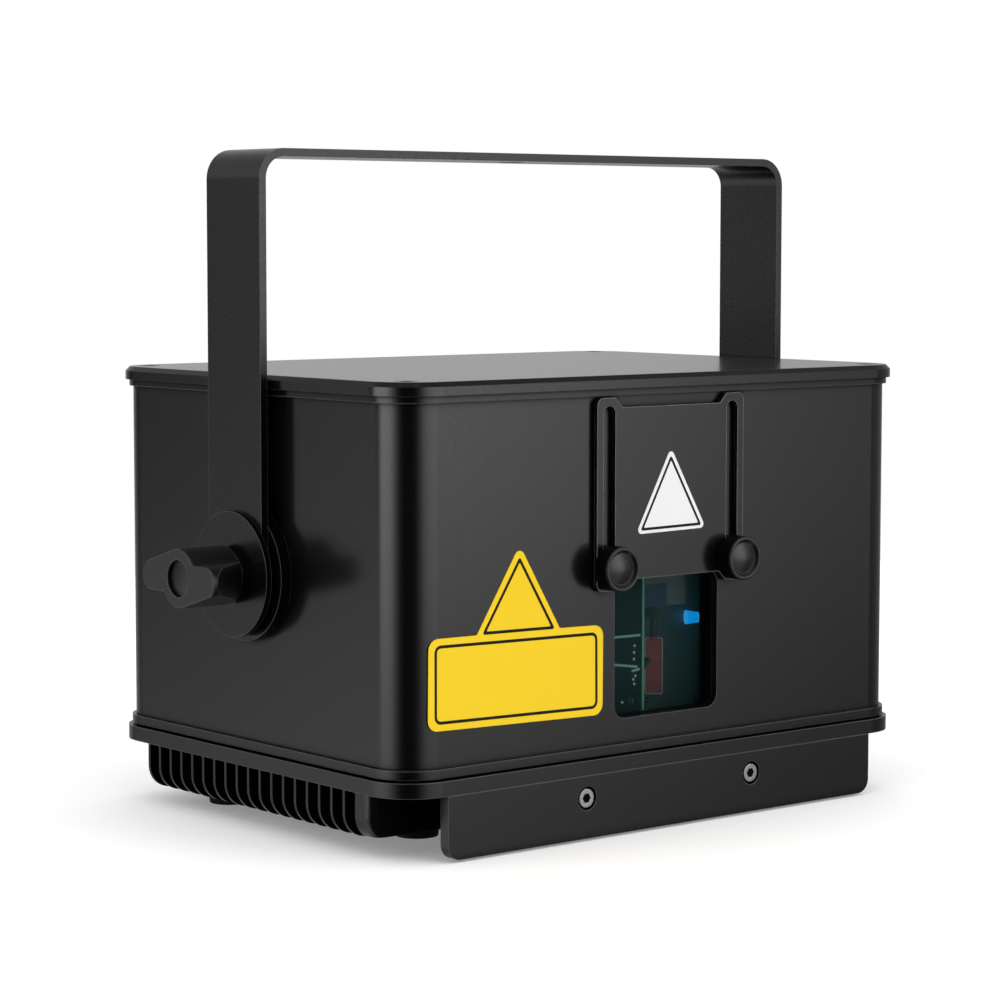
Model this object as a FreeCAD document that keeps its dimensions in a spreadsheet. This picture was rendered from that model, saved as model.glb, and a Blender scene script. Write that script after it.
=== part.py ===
import FreeCAD, Part
import math
import os
import Sketcher

# Laser show projector: a housing on a finned heat sink, hung in a yoke, with a sliding aperture shutter.
# Millimetres, +Z up. The front with its aperture faces -Y, and the feet stand on Z = 0.

X, Y, Z = range(3)
PLANES = {X: "YZ_Plane", Y: "XZ_Plane", Z: "XY_Plane"}
SIDES = (("left", -1), ("right", 1))
CORNERS = ((-1, -1), (1, -1), (1, 1), (-1, 1))
TOLERANCE = 0.001
Vector = FreeCAD.Vector
Rotation = FreeCAD.Rotation

document = FreeCAD.newDocument("LaserProjector")
sheet = document.addObject("Spreadsheet::Sheet", "Sizes")
aliases = []
nodes = {}


class Size:
    """A number that also knows the sheet expression that it is worked out from."""

    def __init__(self, text, value):
        self.text = text
        self.value = value

    def join(self, sign, other, value):
        return Size("(%s %s %s)" % (self.text, sign, as_size(other).text), value)

    def __add__(self, other):
        return self.join("+", other, self.value + as_size(other).value)

    def __sub__(self, other):
        return self.join("-", other, self.value - as_size(other).value)

    def __mul__(self, other):
        return self.join("*", other, self.value * as_size(other).value)

    def __truediv__(self, other):
        return self.join("/", other, self.value / as_size(other).value)

    def __rsub__(self, other):
        return as_size(other) - self

    def __neg__(self):
        return as_size(-1) * self

    __radd__ = __add__
    __rmul__ = __mul__


def as_size(number):
    return number if isinstance(number, Size) else Size(repr(number), number)


def root(number):
    return Size("sqrt(%s)" % number.text, math.sqrt(number.value))


def size(alias, value):
    """Writes one driving dimension into the sheet and returns it."""
    aliases.append(alias)
    row = len(aliases)
    sheet.set("A%d" % row, alias)
    sheet.set("B%d" % row, str(value))
    sheet.setAlias("B%d" % row, alias)
    return Size("Sizes." + alias, value)


# How far a cutting tool runs past the solid that it cuts
margin = as_size(1)

# Fits and fasteners
fit_gap = size("fit_gap", 0.05)
free_gap = size("free_gap", 0.3)
slide_gap = size("slide_gap", 0.1)
screw_radius = size("screw_radius", 2)
screw_head_radius = size("screw_head_radius", 3.5)
screw_head_height = size("screw_head_height", 3.1)
socket_radius = size("screw_socket_radius", 1.75)
socket_depth = size("screw_socket_depth", 1.6)
sunk_head_radius = size("sunk_head_radius", 4)
sunk_head_height = size("sunk_head_height", 2.2)
case_screw_length = size("case_screw_length", 16)

# Housing, its end frames, cover and base
housing_width = size("housing_width", 251)
housing_depth = size("housing_depth", 183.2)
housing_height = size("housing_height", 130)
housing_wall = size("housing_wall", 3)
corner_radius = size("corner_radius", 15.5)
edge_overhang = size("edge_overhang", 3)
frame_step = size("frame_step", 1.5)
frame_band = size("frame_band", 16)
frame_corner = size("frame_inner_corner", 4)
lower_frame_height = size("lower_frame_height", 3.3)
upper_frame_height = size("upper_frame_height", 2.5)
gasket_thickness = size("gasket_thickness", 0.8)
flange_thickness = size("flange_thickness", 5.6)
cover_thickness = size("cover_thickness", 5)
cover_bevel = size("cover_bevel", 1.7)
post_inset = size("post_inset", 9)
post_radius = size("post_radius", 5)

# Heat sink and feet
foot_height = size("foot_height", 5.7)
foot_radius = size("foot_radius", 9)
foot_taper = size("foot_taper", 1)
front_foot_side_inset = size("front_foot_side_inset", 42.5)
back_foot_side_inset = size("back_foot_side_inset", 26.5)
foot_front_inset = size("foot_front_inset", 46.6)
foot_back_inset = size("foot_back_inset", 37.2)
sink_height = size("sink_height", 18.8)
sink_setback = size("sink_front_setback", 19)
sink_back_gap = size("sink_back_setback", 19.4)
sink_block = size("sink_front_block", 9.1)
sink_block_rise = size("sink_block_rise", 2)
sink_base = size("sink_base_thickness", 3)
sink_base_inset = size("sink_base_inset", 13)
sink_corner = size("sink_corner_radius", 9.5)
sink_block_edge = size("sink_block_edge", 3.5)
fin_thickness = size("fin_thickness", 1.3)
fin_count = size("fin_count", 18)

# Front skirt
skirt_inset = size("skirt_side_inset", 18.1)
skirt_drop = size("skirt_drop", 23.5)
skirt_thickness = size("skirt_thickness", 4.6)
skirt_corner = size("skirt_corner_radius", 5.5)
skirt_screw_x = size("skirt_screw_x", 42)
skirt_screw_drop = size("skirt_screw_drop", 8.4)
skirt_screw_reach = size("skirt_screw_reach", 16)
counterbore_radius = size("counterbore_radius", 4.5)
counterbore_depth = size("counterbore_depth", 3.4)
spacer_radius = size("spacer_radius", 6)

# Aperture, window and shutter
aperture_share = size("aperture_share", 0.403)
aperture_corner = size("aperture_corner", 5)
aperture_rise = size("aperture_rise", 9.3)
window_depth = size("window_depth", 8.8)
window_rim = size("window_rim", 2.8)
glass_thickness = size("glass_thickness", 2)
glass_lap = size("glass_lap", 1.6)
glass_gap = size("glass_gap", 0.2)
glass_rebate = size("glass_rebate", 3)
shutter_side = size("shutter_side", 6)
shutter_share = size("shutter_share", 0.55)
shutter_top_gap = size("shutter_top_gap", 0.7)
shutter_thickness = size("shutter_thickness", 1.6)
ear_width = size("ear_width", 8.8)
ear_slope = size("ear_slope", 3.6)
ear_height = size("ear_height", 3.7)
ear_corner = size("ear_corner", 3)
slot_width = size("slot_width", 5.8)
slot_gap = size("slot_gap", 4.9)
slot_end = size("slot_end", 3)
washer_radius = size("washer_radius", 5)
washer_thickness = size("washer_thickness", 0.7)
thumb_lift = size("thumb_lift", 5.8)
thumb_radius = size("thumb_radius", 8.35)
thumb_height = size("thumb_height", 7.9)
thumb_foot = size("thumb_foot_radius", 6.5)
thumb_foot_rise = size("thumb_foot_rise", 1.2)
thumb_edge = size("thumb_edge", 0.5)
thumb_rim = size("thumb_rim", 0.7)
thumb_dish = size("thumb_dish", 1.3)
thumb_embed = size("thumb_stud_embed", 4.5)
stud_nut_radius = size("stud_nut_radius", 2.8)
stud_nut_height = size("stud_nut_height", 5)

# Yoke and its pivots
pivot_drop = size("pivot_drop", 1.6)
inner_disc_thickness = size("inner_disc_thickness", 4.7)
inner_disc_radius = size("inner_disc_radius", 25.2)
yoke_bar = size("yoke_bar_thickness", 3)
yoke_width = size("yoke_bar_width", 34)
yoke_headroom = size("yoke_headroom", 79.9)
yoke_bend = size("yoke_bend_radius", 11)
yoke_end_flat = size("yoke_end_flat", 0.2)
yoke_bolt_radius = size("yoke_bolt_radius", 5.25)
disc_radius = size("disc_radius", 23.5)
disc_thickness = size("outer_disc_thickness", 2.3)
pivot_stud_radius = size("pivot_stud_radius", 4)
pivot_stud_embed = size("pivot_stud_embed", 14)
bush_radius = size("bush_radius", 7)
bush_flange_radius = size("bush_flange_radius", 11)
bush_length = size("bush_length", 14)
knob_height = size("knob_height", 23.1)
knob_hub = size("knob_hub_radius", 11)
knob_span = size("knob_wing_span", 47.6)
knob_tip = size("knob_tip_radius", 5.6)
knob_lip = size("knob_base_lip", 0.8)
knob_collar = size("knob_collar_radius", 8.5)
knob_collar_height = size("knob_collar_height", 2.8)
knob_notch = size("knob_notch_radius", 2)
knob_edge = size("knob_edge_radius", 0.7)
cap_radius = size("cap_radius", 6.6)
cap_height = size("cap_height", 2.2)
cap_edge = size("cap_edge_height", 1.8)
cap_sink = size("cap_sink", 1)

# Optics plate, lasers and scanner
plate_side_inset = size("plate_side_inset", 18.5)
plate_end_inset = size("plate_end_inset", 17.1)
plate_thickness = size("plate_thickness", 6)
laser_width = size("laser_width", 28)
laser_back_gap = size("laser_back_gap", 27.6)
laser_height = size("laser_height", 30)
laser_pitch_share = size("laser_pitch_share", 0.271)
laser_first_share = size("laser_first_share", 0.669)
laser_gap = size("laser_mirror_gap", 11)
barrel_radius = size("barrel_radius", 6)
barrel_length = size("barrel_length", 9)
beam_height = size("beam_height", 8)
combiner_gap = size("combiner_gap", 0.6)
combiner_size = size("combiner_size", 12)
combiner_thickness = size("combiner_thickness", 1.5)
mount_radius = size("mount_radius", 6)
fold_radius = size("fold_mount_radius", 2.4)
fold_width = size("fold_mirror_width", 6)
fold_length = size("fold_mirror_length", 7)
beam_hole_radius = size("beam_hole_radius", 3)
block_left = size("scanner_left", -6)
block_width = size("scanner_width", 88)
block_setback = size("scanner_setback", 30)
block_depth = size("scanner_depth", 10)
block_height = size("scanner_height", 70)
shelf_reach = size("scanner_shelf_reach", 17.5)
shelf_height = size("scanner_shelf_height", 20)
shelf_width = size("scanner_shelf_width", 21)
galvo_radius = size("galvo_radius", 5.6)
galvo_length = size("galvo_length", 32)
galvo_reach = size("galvo_axis_reach", 11)
upright_galvo_x = size("upright_galvo_x", 11)
upright_galvo_lift = size("upright_galvo_lift", 41.5)
upright_overhang = size("upright_galvo_overhang", 4.5)
lying_galvo_x = size("lying_galvo_x", 3.5)
lying_galvo_lift = size("lying_galvo_lift", 23.5)
lying_setback = size("lying_galvo_setback", 1)
mirror_shaft_radius = size("mirror_shaft_radius", 1.5)
mirror_shaft_depth = size("mirror_shaft_depth", 10)
mirror_lap = size("mirror_lap", 1)
mirror_thickness = size("mirror_thickness", 1.2)
upright_mirror_gap = size("upright_mirror_gap", 8.4)
upright_mirror_width = size("upright_mirror_width", 7)
upright_mirror_length = size("upright_mirror_length", 22)
lying_mirror_width = size("lying_mirror_width", 6)
lying_mirror_length = size("lying_mirror_length", 8)
plug_radius = size("plug_radius", 2.8)
plug_tip_radius = size("plug_tip_radius", 2.2)
plug_length = size("plug_length", 9.3)
plug_x = size("plug_x", 39.9)
plug_lift = size("plug_lift", 37.4)

# Boards and power supply
scanner_board_x = size("scanner_board_x", -1.8)
scanner_board_length = size("scanner_board_length", 18)
scanner_board_height = size("scanner_board_height", 60)
board_thickness = size("board_thickness", 1.6)
control_left_share = size("control_left_share", 0.829)
control_share = size("control_board_share", 0.86)
control_gap = size("control_board_gap", 10)
control_back_gap = size("control_back_gap", 21.6)
control_lift = size("control_board_lift", 54)
board_post_radius = size("board_post_radius", 2.5)
board_post_inset = size("board_post_inset", 3)
supply_left_share = size("supply_left_share", 0.319)
supply_share = size("supply_share", 0.494)
supply_front = size("supply_front", 0.5)
supply_back_gap = size("supply_back_gap", 25.6)
supply_height = size("supply_height", 44)

# Rear panel, its sockets and the fan
panel_share = size("panel_width_share", 0.8)
panel_rise_share = size("panel_height_share", 0.77)
panel_thickness = size("panel_thickness", 2)
panel_corner = size("panel_corner", 4)
panel_lip = size("panel_lip", 8)
panel_screw_radius = size("panel_screw_radius", 1.5)
panel_screw_head = size("panel_screw_head", 3)
panel_screw_inset = size("panel_screw_inset", 4)
fan_share = size("fan_share", 0.54)
fan_side = size("fan_side", 60)
fan_depth = size("fan_depth", 15)
fan_bore_radius = size("fan_bore_radius", 28)
fan_boss_radius = size("fan_boss_radius", 12)
fan_boss_height = size("fan_boss_height", 3)
fan_strut_width = size("fan_strut_width", 4)
fan_hub_radius = size("fan_hub_radius", 11)
fan_hub_height = size("fan_hub_height", 10)
fan_tip_gap = size("fan_tip_gap", 1.5)
fan_blade_count = size("fan_blade_count", 7)
fan_blade_thickness = size("fan_blade_thickness", 1.5)
fan_blade_run = size("fan_blade_run", 8)
fan_blade_rise = size("fan_blade_rise", 8)
fan_blade_root = size("fan_blade_root", 1)
fan_shaft_radius = size("fan_shaft_radius", 1.5)
vent_width = size("vent_width", 50)
vent_height = size("vent_height", 3.2)
vent_pitch = size("vent_pitch", 6.4)
vent_count = size("vent_count", 8)
power_share = size("power_share", 0.74)
inlet_share = size("inlet_share", 0.27)
inlet_width = size("inlet_width", 27)
inlet_height = size("inlet_height", 20)
inlet_lip = size("inlet_lip", 1.5)
inlet_face = size("inlet_face", 2.5)
inlet_depth = size("inlet_depth", 18)
inlet_wall = size("inlet_wall", 2.5)
rocker_share = size("rocker_share", 0.55)
rocker_width = size("rocker_width", 13)
rocker_height = size("rocker_height", 20)
rocker_depth = size("rocker_depth", 12)
rocker_wall = size("rocker_wall", 1.5)
rocker_swing = size("rocker_swing", 8)
rocker_gap = size("rocker_end_gap", 1)
rocker_lift_out = size("rocker_stand_out", 2.2)
rocker_thickness = size("rocker_thickness", 4)
key_share = size("key_share", 0.81)
key_radius = size("key_barrel_radius", 7.5)
key_bezel_radius = size("key_bezel_radius", 9.5)
key_bezel_height = size("key_bezel_height", 3)
key_depth = size("key_depth", 16)
key_floor = size("key_floor", 3)
key_rotor_radius = size("key_rotor_radius", 5)
key_rotor_stand = size("key_rotor_stand", 0.8)
key_slot_width = size("key_slot_width", 1.6)
key_slot_length = size("key_slot_length", 6.5)
key_slot_depth = size("key_slot_depth", 4)
signal_share = size("signal_share", 0.2)
signal_pitch_share = size("signal_pitch_share", 0.32)
signal_rise_share = size("signal_rise_share", 0.68)
signal_radius = size("signal_radius", 11.5)
signal_depth = size("signal_depth", 12)
signal_plate = size("signal_plate", 26)
signal_plate_thickness = size("signal_plate_thickness", 2)
signal_recess_radius = size("signal_recess_radius", 9.5)
signal_recess_depth = size("signal_recess_depth", 3)
data_share = size("data_share", 0.3)
data_plate_width = size("data_plate_width", 53)
data_plate_height = size("data_plate_height", 12.5)
data_plate_thickness = size("data_plate_thickness", 1.5)
data_shell_width = size("data_shell_width", 39)
data_shell_height = size("data_shell_height", 8.4)
data_shell_slope = size("data_shell_slope", 1.5)
data_shell_reach = size("data_shell_reach", 6)
data_depth = size("data_depth", 9)
lug_base_width = size("lug_base_width", 28)
lug_gap = size("lug_gap", 1)
lug_base_thickness = size("lug_base_thickness", 2)
lug_thickness = size("lug_thickness", 4)
lug_hole_radius = size("lug_hole_radius", 4)

# Levels and faces that several pieces share
half_width = housing_width / 2
half_depth = housing_depth / 2
front = -half_depth
flange_bottom = foot_height + sink_height
flange_top = flange_bottom + flange_thickness
gasket_top = flange_top + gasket_thickness
housing_bottom = gasket_top + lower_frame_height
housing_top = housing_bottom + housing_height
cover_bottom = housing_top + upper_frame_height
cover_top = cover_bottom + cover_thickness
plate_top = flange_top + plate_thickness
pivot_height = housing_bottom + housing_height / 2 - pivot_drop
yoke_inner = half_width + inner_disc_thickness
yoke_roof = cover_top + yoke_headroom
aperture_width = aperture_share * housing_height
aperture_bottom = housing_bottom + aperture_rise
aperture_centre = aperture_bottom + aperture_width / 2
shutter_back = front - washer_thickness - slide_gap
shutter_front = shutter_back - shutter_thickness
shutter_top = housing_top - shutter_top_gap
shutter_height = shutter_share * housing_height
slot_x = aperture_width / 2 + slot_gap
shutter_half = slot_x + shutter_side
shutter_bottom = shutter_top - shutter_height
thumb_level = shutter_bottom + slot_end + thumb_lift
skirt_front = front - edge_overhang
skirt_screw_level = flange_bottom - skirt_screw_drop
skirt_half = half_width - skirt_inset
sink_front = front + sink_setback
fin_pitch = (half_depth - sink_back_gap - sink_front - sink_block) / fin_count
block_front_y = front + block_setback
combiner_y = block_front_y + lying_setback + galvo_length + mount_radius + combiner_gap
panel_half = panel_share * half_width
panel_height = panel_rise_share * housing_height
panel_margin = (housing_height - panel_height) / 2
panel_bottom = housing_bottom + panel_margin
fan_x = -panel_half * fan_share
power_x = panel_half * power_share
inlet_level = panel_bottom + panel_height * inlet_share
rocker_level = panel_bottom + panel_height * rocker_share
key_level = panel_bottom + panel_height * key_share
signal_level = panel_bottom + panel_height * signal_rise_share
data_level = panel_bottom + panel_height * data_share
signal_pitch = panel_half * signal_pitch_share
data_x = panel_half * signal_share
signal_first_x = data_x - signal_pitch / 2
panel_face = half_depth + panel_thickness
post_places = [(sx * (half_width - post_inset), sy * (half_depth - post_inset)) for sx, sy in CORNERS]


# Sketches and solid features

def new_body(label):
    body = document.addObject("PartDesign::Body", "Body")
    body.Label = label
    return body


def origin_part(body, role):
    return next(feature for feature in body.Origin.OriginFeatures if feature.Role == role)


def start_sketch(body, axis, place):
    """A sketch square to an axis. Features grow from it along +X or +Z, or along -Y."""
    sketch = body.newObject("Sketcher::SketchObject", "Sketch")
    sketch.AttachmentSupport = [(origin_part(body, PLANES[axis]), "")]
    sketch.MapMode = "FlatFace"
    offset = -as_size(place) if axis == Y else as_size(place)
    sketch.setExpression("AttachmentOffset.Base.z", offset.text)
    return sketch


def pin_point(sketch, geometry, point, place):
    """Ties one point of a sketch to the sheet."""
    for kind, axis_line, distance in (("DistanceX", -2, place[0]), ("DistanceY", -1, place[1])):
        if distance == 0:
            sketch.addConstraint(Sketcher.Constraint("PointOnObject", geometry, point, axis_line))
            continue
        distance = as_size(distance)
        index = sketch.addConstraint(Sketcher.Constraint(kind, geometry, point, float(distance.value)))
        sketch.setExpression("Constraints[%d]" % index, distance.text)


def draw_outline(sketch, corners, dome=None):
    """A closed outline. The edge numbered dome is an arc about the sketch's upright axis."""
    first = sketch.GeometryCount
    places = [Vector(as_size(u).value, as_size(v).value, 0) for u, v in corners]
    count = len(places)
    for index, start in enumerate(places):
        end = places[(index + 1) % count]
        if index == dome:
            rise = end.y - start.y
            radius = (start.x ** 2 + rise ** 2) / (2 * rise)
            circle = Part.Circle(Vector(0, end.y - radius, 0), Vector(0, 0, 1), radius)
            begin = math.asin((start.y - end.y + radius) / radius)
            sketch.addGeometry(Part.ArcOfCircle(circle, begin, math.pi / 2), False)
        else:
            sketch.addGeometry(Part.LineSegment(start, end), False)
    for index in range(count):
        following = first + (index + 1) % count
        sketch.addConstraint(Sketcher.Constraint("Coincident", first + index, 2, following, 1))
    if dome is not None:
        sketch.addConstraint(Sketcher.Constraint("PointOnObject", first + dome, 3, -2))
    for index, corner in enumerate(corners):
        pin_point(sketch, first + index, 1, corner)


def draw_circle(sketch, place, radius):
    number = sketch.GeometryCount
    centre = Vector(as_size(place[0]).value, as_size(place[1]).value, 0)
    sketch.addGeometry(Part.Circle(centre, Vector(0, 0, 1), radius.value), False)
    index = sketch.addConstraint(Sketcher.Constraint("Radius", number, radius.value))
    sketch.setExpression("Constraints[%d]" % index, radius.text)
    pin_point(sketch, number, 3, place)


def pad(body, sketch, length):
    feature = body.newObject("PartDesign::Pad", "Pad")
    feature.Profile = sketch
    feature.setExpression("Length", length.text)
    document.recompute()
    return feature


def pocket(body, sketch, length):
    before = body.Shape.Volume
    feature = body.newObject("PartDesign::Pocket", "Pocket")
    feature.Profile = sketch
    feature.Reversed = True
    feature.setExpression("Length", length.text)
    document.recompute()
    if body.Shape.Volume > before - TOLERANCE:
        raise RuntimeError("A pocket of %s cuts nothing" % body.Label)
    return feature


def pattern(body, kind, features, settings):
    feature = body.newObject("PartDesign::" + kind, kind)
    feature.Originals = features
    for name, value in settings.items():
        if isinstance(value, Size):
            feature.setExpression(name, value.text)
        else:
            setattr(feature, name, value)
    body.Tip = feature
    document.recompute()


def finish_edges(body, kind, setting, names, amount):
    base = body.Tip
    feature = body.newObject("PartDesign::" + kind, kind)
    feature.Base = (base, names)
    feature.setExpression(setting, amount.text)
    body.Tip = feature
    document.recompute()


def round_edges(body, axis, spots, radius):
    """Rounds the straight edges along an axis that stand at the given spots of the other two axes."""
    first, second = [other for other in (X, Y, Z) if other != axis]
    wanted = [(as_size(u).value, as_size(v).value) for u, v in spots]
    names = []
    for number, edge in enumerate(body.Tip.Shape.Edges, 1):
        start, end = edge.Vertexes[0].Point, edge.Vertexes[-1].Point
        along = abs(end[first] - start[first]) < TOLERANCE and abs(end[second] - start[second]) < TOLERANCE
        near = [abs(start[first] - u) < TOLERANCE and abs(start[second] - v) < TOLERANCE for u, v in wanted]
        if along and any(near) and abs(end[axis] - start[axis]) > TOLERANCE:
            names.append("Edge%d" % number)
    finish_edges(body, "Fillet", "Radius", names, radius)


def edges_in_plane(body, axis, place):
    return ["Edge%d" % number for number, edge in enumerate(body.Tip.Shape.Edges, 1)
            if all(abs(vertex.Point[axis] - place.value) < TOLERANCE for vertex in edge.Vertexes)]


def rectangle(left, right, low, high):
    return [(left, low), (right, low), (right, high), (left, high)]


def slab(label, half_x, half_y, low, height, radius):
    """A lying plate with rounded upright corners, centred on the Z axis."""
    body = new_body(label)
    sketch = start_sketch(body, Z, low)
    draw_outline(sketch, rectangle(-half_x, half_x, -half_y, half_y))
    pad(body, sketch, height)
    round_edges(body, Z, [(sx * half_x, sy * half_y) for sx, sy in CORNERS], radius)
    return body


def upright(label, left, right, low, high, back, thickness, radius=None):
    """A standing plate whose broad sides face the front and the back."""
    body = new_body(label)
    sketch = start_sketch(body, Y, back)
    draw_outline(sketch, rectangle(left, right, low, high))
    pad(body, sketch, thickness)
    if radius is not None:
        spots = [(x, z) for x in (left, right) for z in (low, high)]
        round_edges(body, Y, spots, radius)
    return body


def place(piece, spot, rotation=None):
    if rotation is not None:
        piece.Placement = FreeCAD.Placement(Vector(), rotation)
    for name, distance in zip("xyz", spot):
        piece.setExpression("Placement.Base." + name, as_size(distance).text)
    return piece


def block(label, spot, spans, rotation=None):
    piece = document.addObject("Part::Box", "Box")
    piece.Label = label
    for name, span in zip(("Length", "Width", "Height"), spans):
        piece.setExpression(name, as_size(span).text)
    return place(piece, spot, rotation)


def rod(label, spot, axis, radius, length, tip_radius=None):
    """A cylinder, or a cone where a tip radius is given, that starts at the spot and runs along +axis."""
    turn = {X: Rotation(Vector(0, 1, 0), 90), Y: Rotation(Vector(1, 0, 0), -90), Z: Rotation()}[axis]
    if tip_radius is None:
        piece = document.addObject("Part::Cylinder", "Cylinder")
        piece.setExpression("Radius", radius.text)
    else:
        piece = document.addObject("Part::Cone", "Cone")
        piece.setExpression("Radius1", radius.text)
        piece.setExpression("Radius2", tip_radius.text)
    piece.Label = label
    piece.setExpression("Height", length.text)
    return place(piece, spot, turn)


def fuse(label, pieces):
    piece = document.addObject("Part::MultiFuse", "Fusion")
    piece.Label = label
    piece.Shapes = pieces
    piece.Refine = True
    return piece


def cut(label, base, tools):
    piece = document.addObject("Part::Cut", "Cut")
    piece.Label = label
    piece.Base = base
    piece.Tool = tools[0] if len(tools) == 1 else fuse(label + "_tools", tools)
    return piece


def group(label, pieces):
    piece = document.addObject("Part::Compound", "Compound")
    piece.Label = label
    piece.Links = pieces
    return piece


def keep(piece):
    nodes[piece.Label] = piece
    return piece


def outward(side, near, thickness):
    """The low X end of a piece that runs outward from a distance on the left or right."""
    return near if side > 0 else -(near + thickness)


# Housing and case

def corner_holes(label, low, height):
    reach = height + 2 * margin
    radius = screw_radius + free_gap
    return [rod("%s_hole_%d" % (label, number), (x, y, low - margin), Z, radius, reach)
            for number, (x, y) in enumerate(post_places)]


def make_housing():
    blank = slab("housing_blank", half_width, half_depth, housing_bottom, housing_height, corner_radius)
    core = slab("housing_core", half_width - housing_wall, half_depth - housing_wall,
                housing_bottom - margin, housing_height + 2 * margin, corner_radius - housing_wall)
    posts = [rod("housing_post_%d" % number, (x, y, housing_bottom), Z, post_radius, housing_height)
             for number, (x, y) in enumerate(post_places)]
    shell = fuse("housing_shell", [cut("housing_walls", blank, [core])] + posts)
    wall_cut = housing_wall + 2 * margin
    tools = [rod("housing_thread_%d" % number, (x, y, housing_bottom - margin), Z,
                 screw_radius + fit_gap, housing_height + 2 * margin)
             for number, (x, y) in enumerate(post_places)]
    half_aperture = aperture_width / 2
    tools.append(upright("housing_aperture", -half_aperture, half_aperture, aperture_bottom,
                         aperture_bottom + aperture_width, front + housing_wall + margin, wall_cut,
                         aperture_corner))
    tools.append(upright("housing_rear_opening", -panel_half + panel_lip, panel_half - panel_lip,
                         panel_bottom + panel_lip, panel_bottom + panel_height - panel_lip,
                         half_depth + margin, wall_cut, panel_corner))
    for name, side in SIDES:
        tools.append(rod("housing_stud_hole_" + name, (side * slot_x, front - margin, thumb_level), Y,
                         screw_radius + free_gap, wall_cut))
        near = half_width - housing_wall - margin
        tools.append(rod("housing_bush_hole_" + name, (outward(side, near, wall_cut), 0, pivot_height), X,
                         bush_radius + fit_gap, wall_cut))
    for number, (x, z) in enumerate(panel_screw_places()):
        tools.append(rod("housing_panel_thread_%d" % number, (x, half_depth - housing_wall - margin, z), Y,
                         panel_screw_radius + fit_gap, wall_cut))
    keep(cut("housing_tube", shell, tools))


def make_frame(label, half_x, half_y, low, height, radius):
    blank = slab(label + "_blank", half_x, half_y, low, height, radius)
    inner = slab(label + "_opening", half_width - frame_band, half_depth - frame_band, low - margin,
                 height + 2 * margin, frame_corner)
    keep(cut(label, blank, [inner] + corner_holes(label, low, height)))


def make_frames():
    step_x, step_y = half_width + frame_step, half_depth + frame_step
    radius = corner_radius + frame_step
    make_frame("upper_frame", step_x, step_y, housing_top, upper_frame_height, radius)
    make_frame("lower_frame", step_x, step_y, gasket_top, lower_frame_height, radius)
    make_frame("base_gasket", half_width, half_depth, flange_top, gasket_thickness, corner_radius)


def sunk_screws(label, face, inward):
    """Four countersunk case screws whose heads lie flush with a lying face."""
    screws = []
    for number, (x, y) in enumerate(post_places):
        low = face if inward > 0 else face - sunk_head_height
        wide, narrow = (sunk_head_radius, screw_radius)[::inward]
        head = rod("%s_head_%d" % (label, number), (x, y, low), Z, wide, sunk_head_height, narrow)
        start = face + sunk_head_height if inward > 0 else face - case_screw_length
        shank = rod("%s_shank_%d" % (label, number), (x, y, start), Z, screw_radius,
                    case_screw_length - sunk_head_height)
        screws.append(fuse("%s_%d" % (label, number), [head, shank]))
    keep(group(label, screws))


def sunk_holes(label, face, inward, thickness):
    """Holes for the countersunk screws, each a clear bore and a cone that stands off the head."""
    holes = corner_holes(label, face if inward > 0 else face - thickness, thickness)
    for number, (x, y) in enumerate(post_places):
        low = face if inward > 0 else face - sunk_head_height
        wide, narrow = (sunk_head_radius + free_gap, screw_radius + free_gap)[::inward]
        holes.append(rod("%s_sink_%d" % (label, number), (x, y, low), Z, wide, sunk_head_height, narrow))
    return holes


def make_cover():
    blank = slab("cover_blank", half_width + edge_overhang, half_depth + edge_overhang, cover_bottom,
                 cover_thickness, corner_radius + edge_overhang)
    finish_edges(blank, "Chamfer", "Size", edges_in_plane(blank, Z, cover_top), cover_bevel)
    keep(cut("top_cover", blank, sunk_holes("cover", cover_top, -1, cover_thickness)))
    sunk_screws("cover_screws", cover_top, -1)


def make_base():
    blank = slab("flange_blank", half_width + edge_overhang, half_depth + edge_overhang, flange_bottom,
                 flange_thickness, corner_radius + edge_overhang)
    keep(cut("base_flange", blank, sunk_holes("flange", flange_bottom, 1, flange_thickness)))
    sunk_screws("base_screws", flange_bottom, 1)


# Heat sink, feet and front skirt

def make_heat_sink():
    """A block with rounded ends, slotted into fins that run the whole width under a narrower base."""
    body = new_body("heat_sink")
    sink_depth = sink_block + fin_count * fin_pitch
    sketch = start_sketch(body, Y, sink_front + sink_depth)
    draw_outline(sketch, rectangle(-half_width, half_width, foot_height, flange_bottom))
    pad(body, sketch, sink_depth)
    round_edges(body, Y, [(side * half_width, foot_height) for name, side in SIDES], sink_corner)
    round_edges(body, Z, [(side * half_width, sink_front) for name, side in SIDES], sink_block_edge)
    slot = fin_pitch - fin_thickness
    inner = half_width - sink_base_inset
    outer = half_width + margin
    roof = flange_bottom - sink_base
    top = flange_bottom + margin
    sketch = start_sketch(body, Y, sink_front + sink_block + slot)
    draw_outline(sketch, [(-outer, foot_height - margin), (outer, foot_height - margin), (outer, top),
                          (inner, top), (inner, roof), (-inner, roof), (-inner, top), (-outer, top)])
    gap = pocket(body, sketch, slot)
    pattern(body, "LinearPattern", [gap], {
        "Direction": (origin_part(body, "Y_Axis"), [""]),
        "Length": (fin_count - 1) * fin_pitch,
        "Occurrences": fin_count})
    sketch = start_sketch(body, Y, sink_front + sink_block)
    draw_outline(sketch, rectangle(-outer, outer, foot_height - margin, foot_height + sink_block_rise))
    pocket(body, sketch, sink_block + margin)
    keep(body)


def make_feet():
    rows = ((half_width - front_foot_side_inset, front + foot_front_inset),
            (half_width - back_foot_side_inset, half_depth - foot_back_inset))
    feet = [rod("foot_%s_%d" % (name, number), (side * x, y, 0), Z, foot_radius - foot_taper,
                foot_height, foot_radius)
            for name, side in SIDES for number, (x, y) in enumerate(rows)]
    keep(group("rubber_feet", feet))


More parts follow.
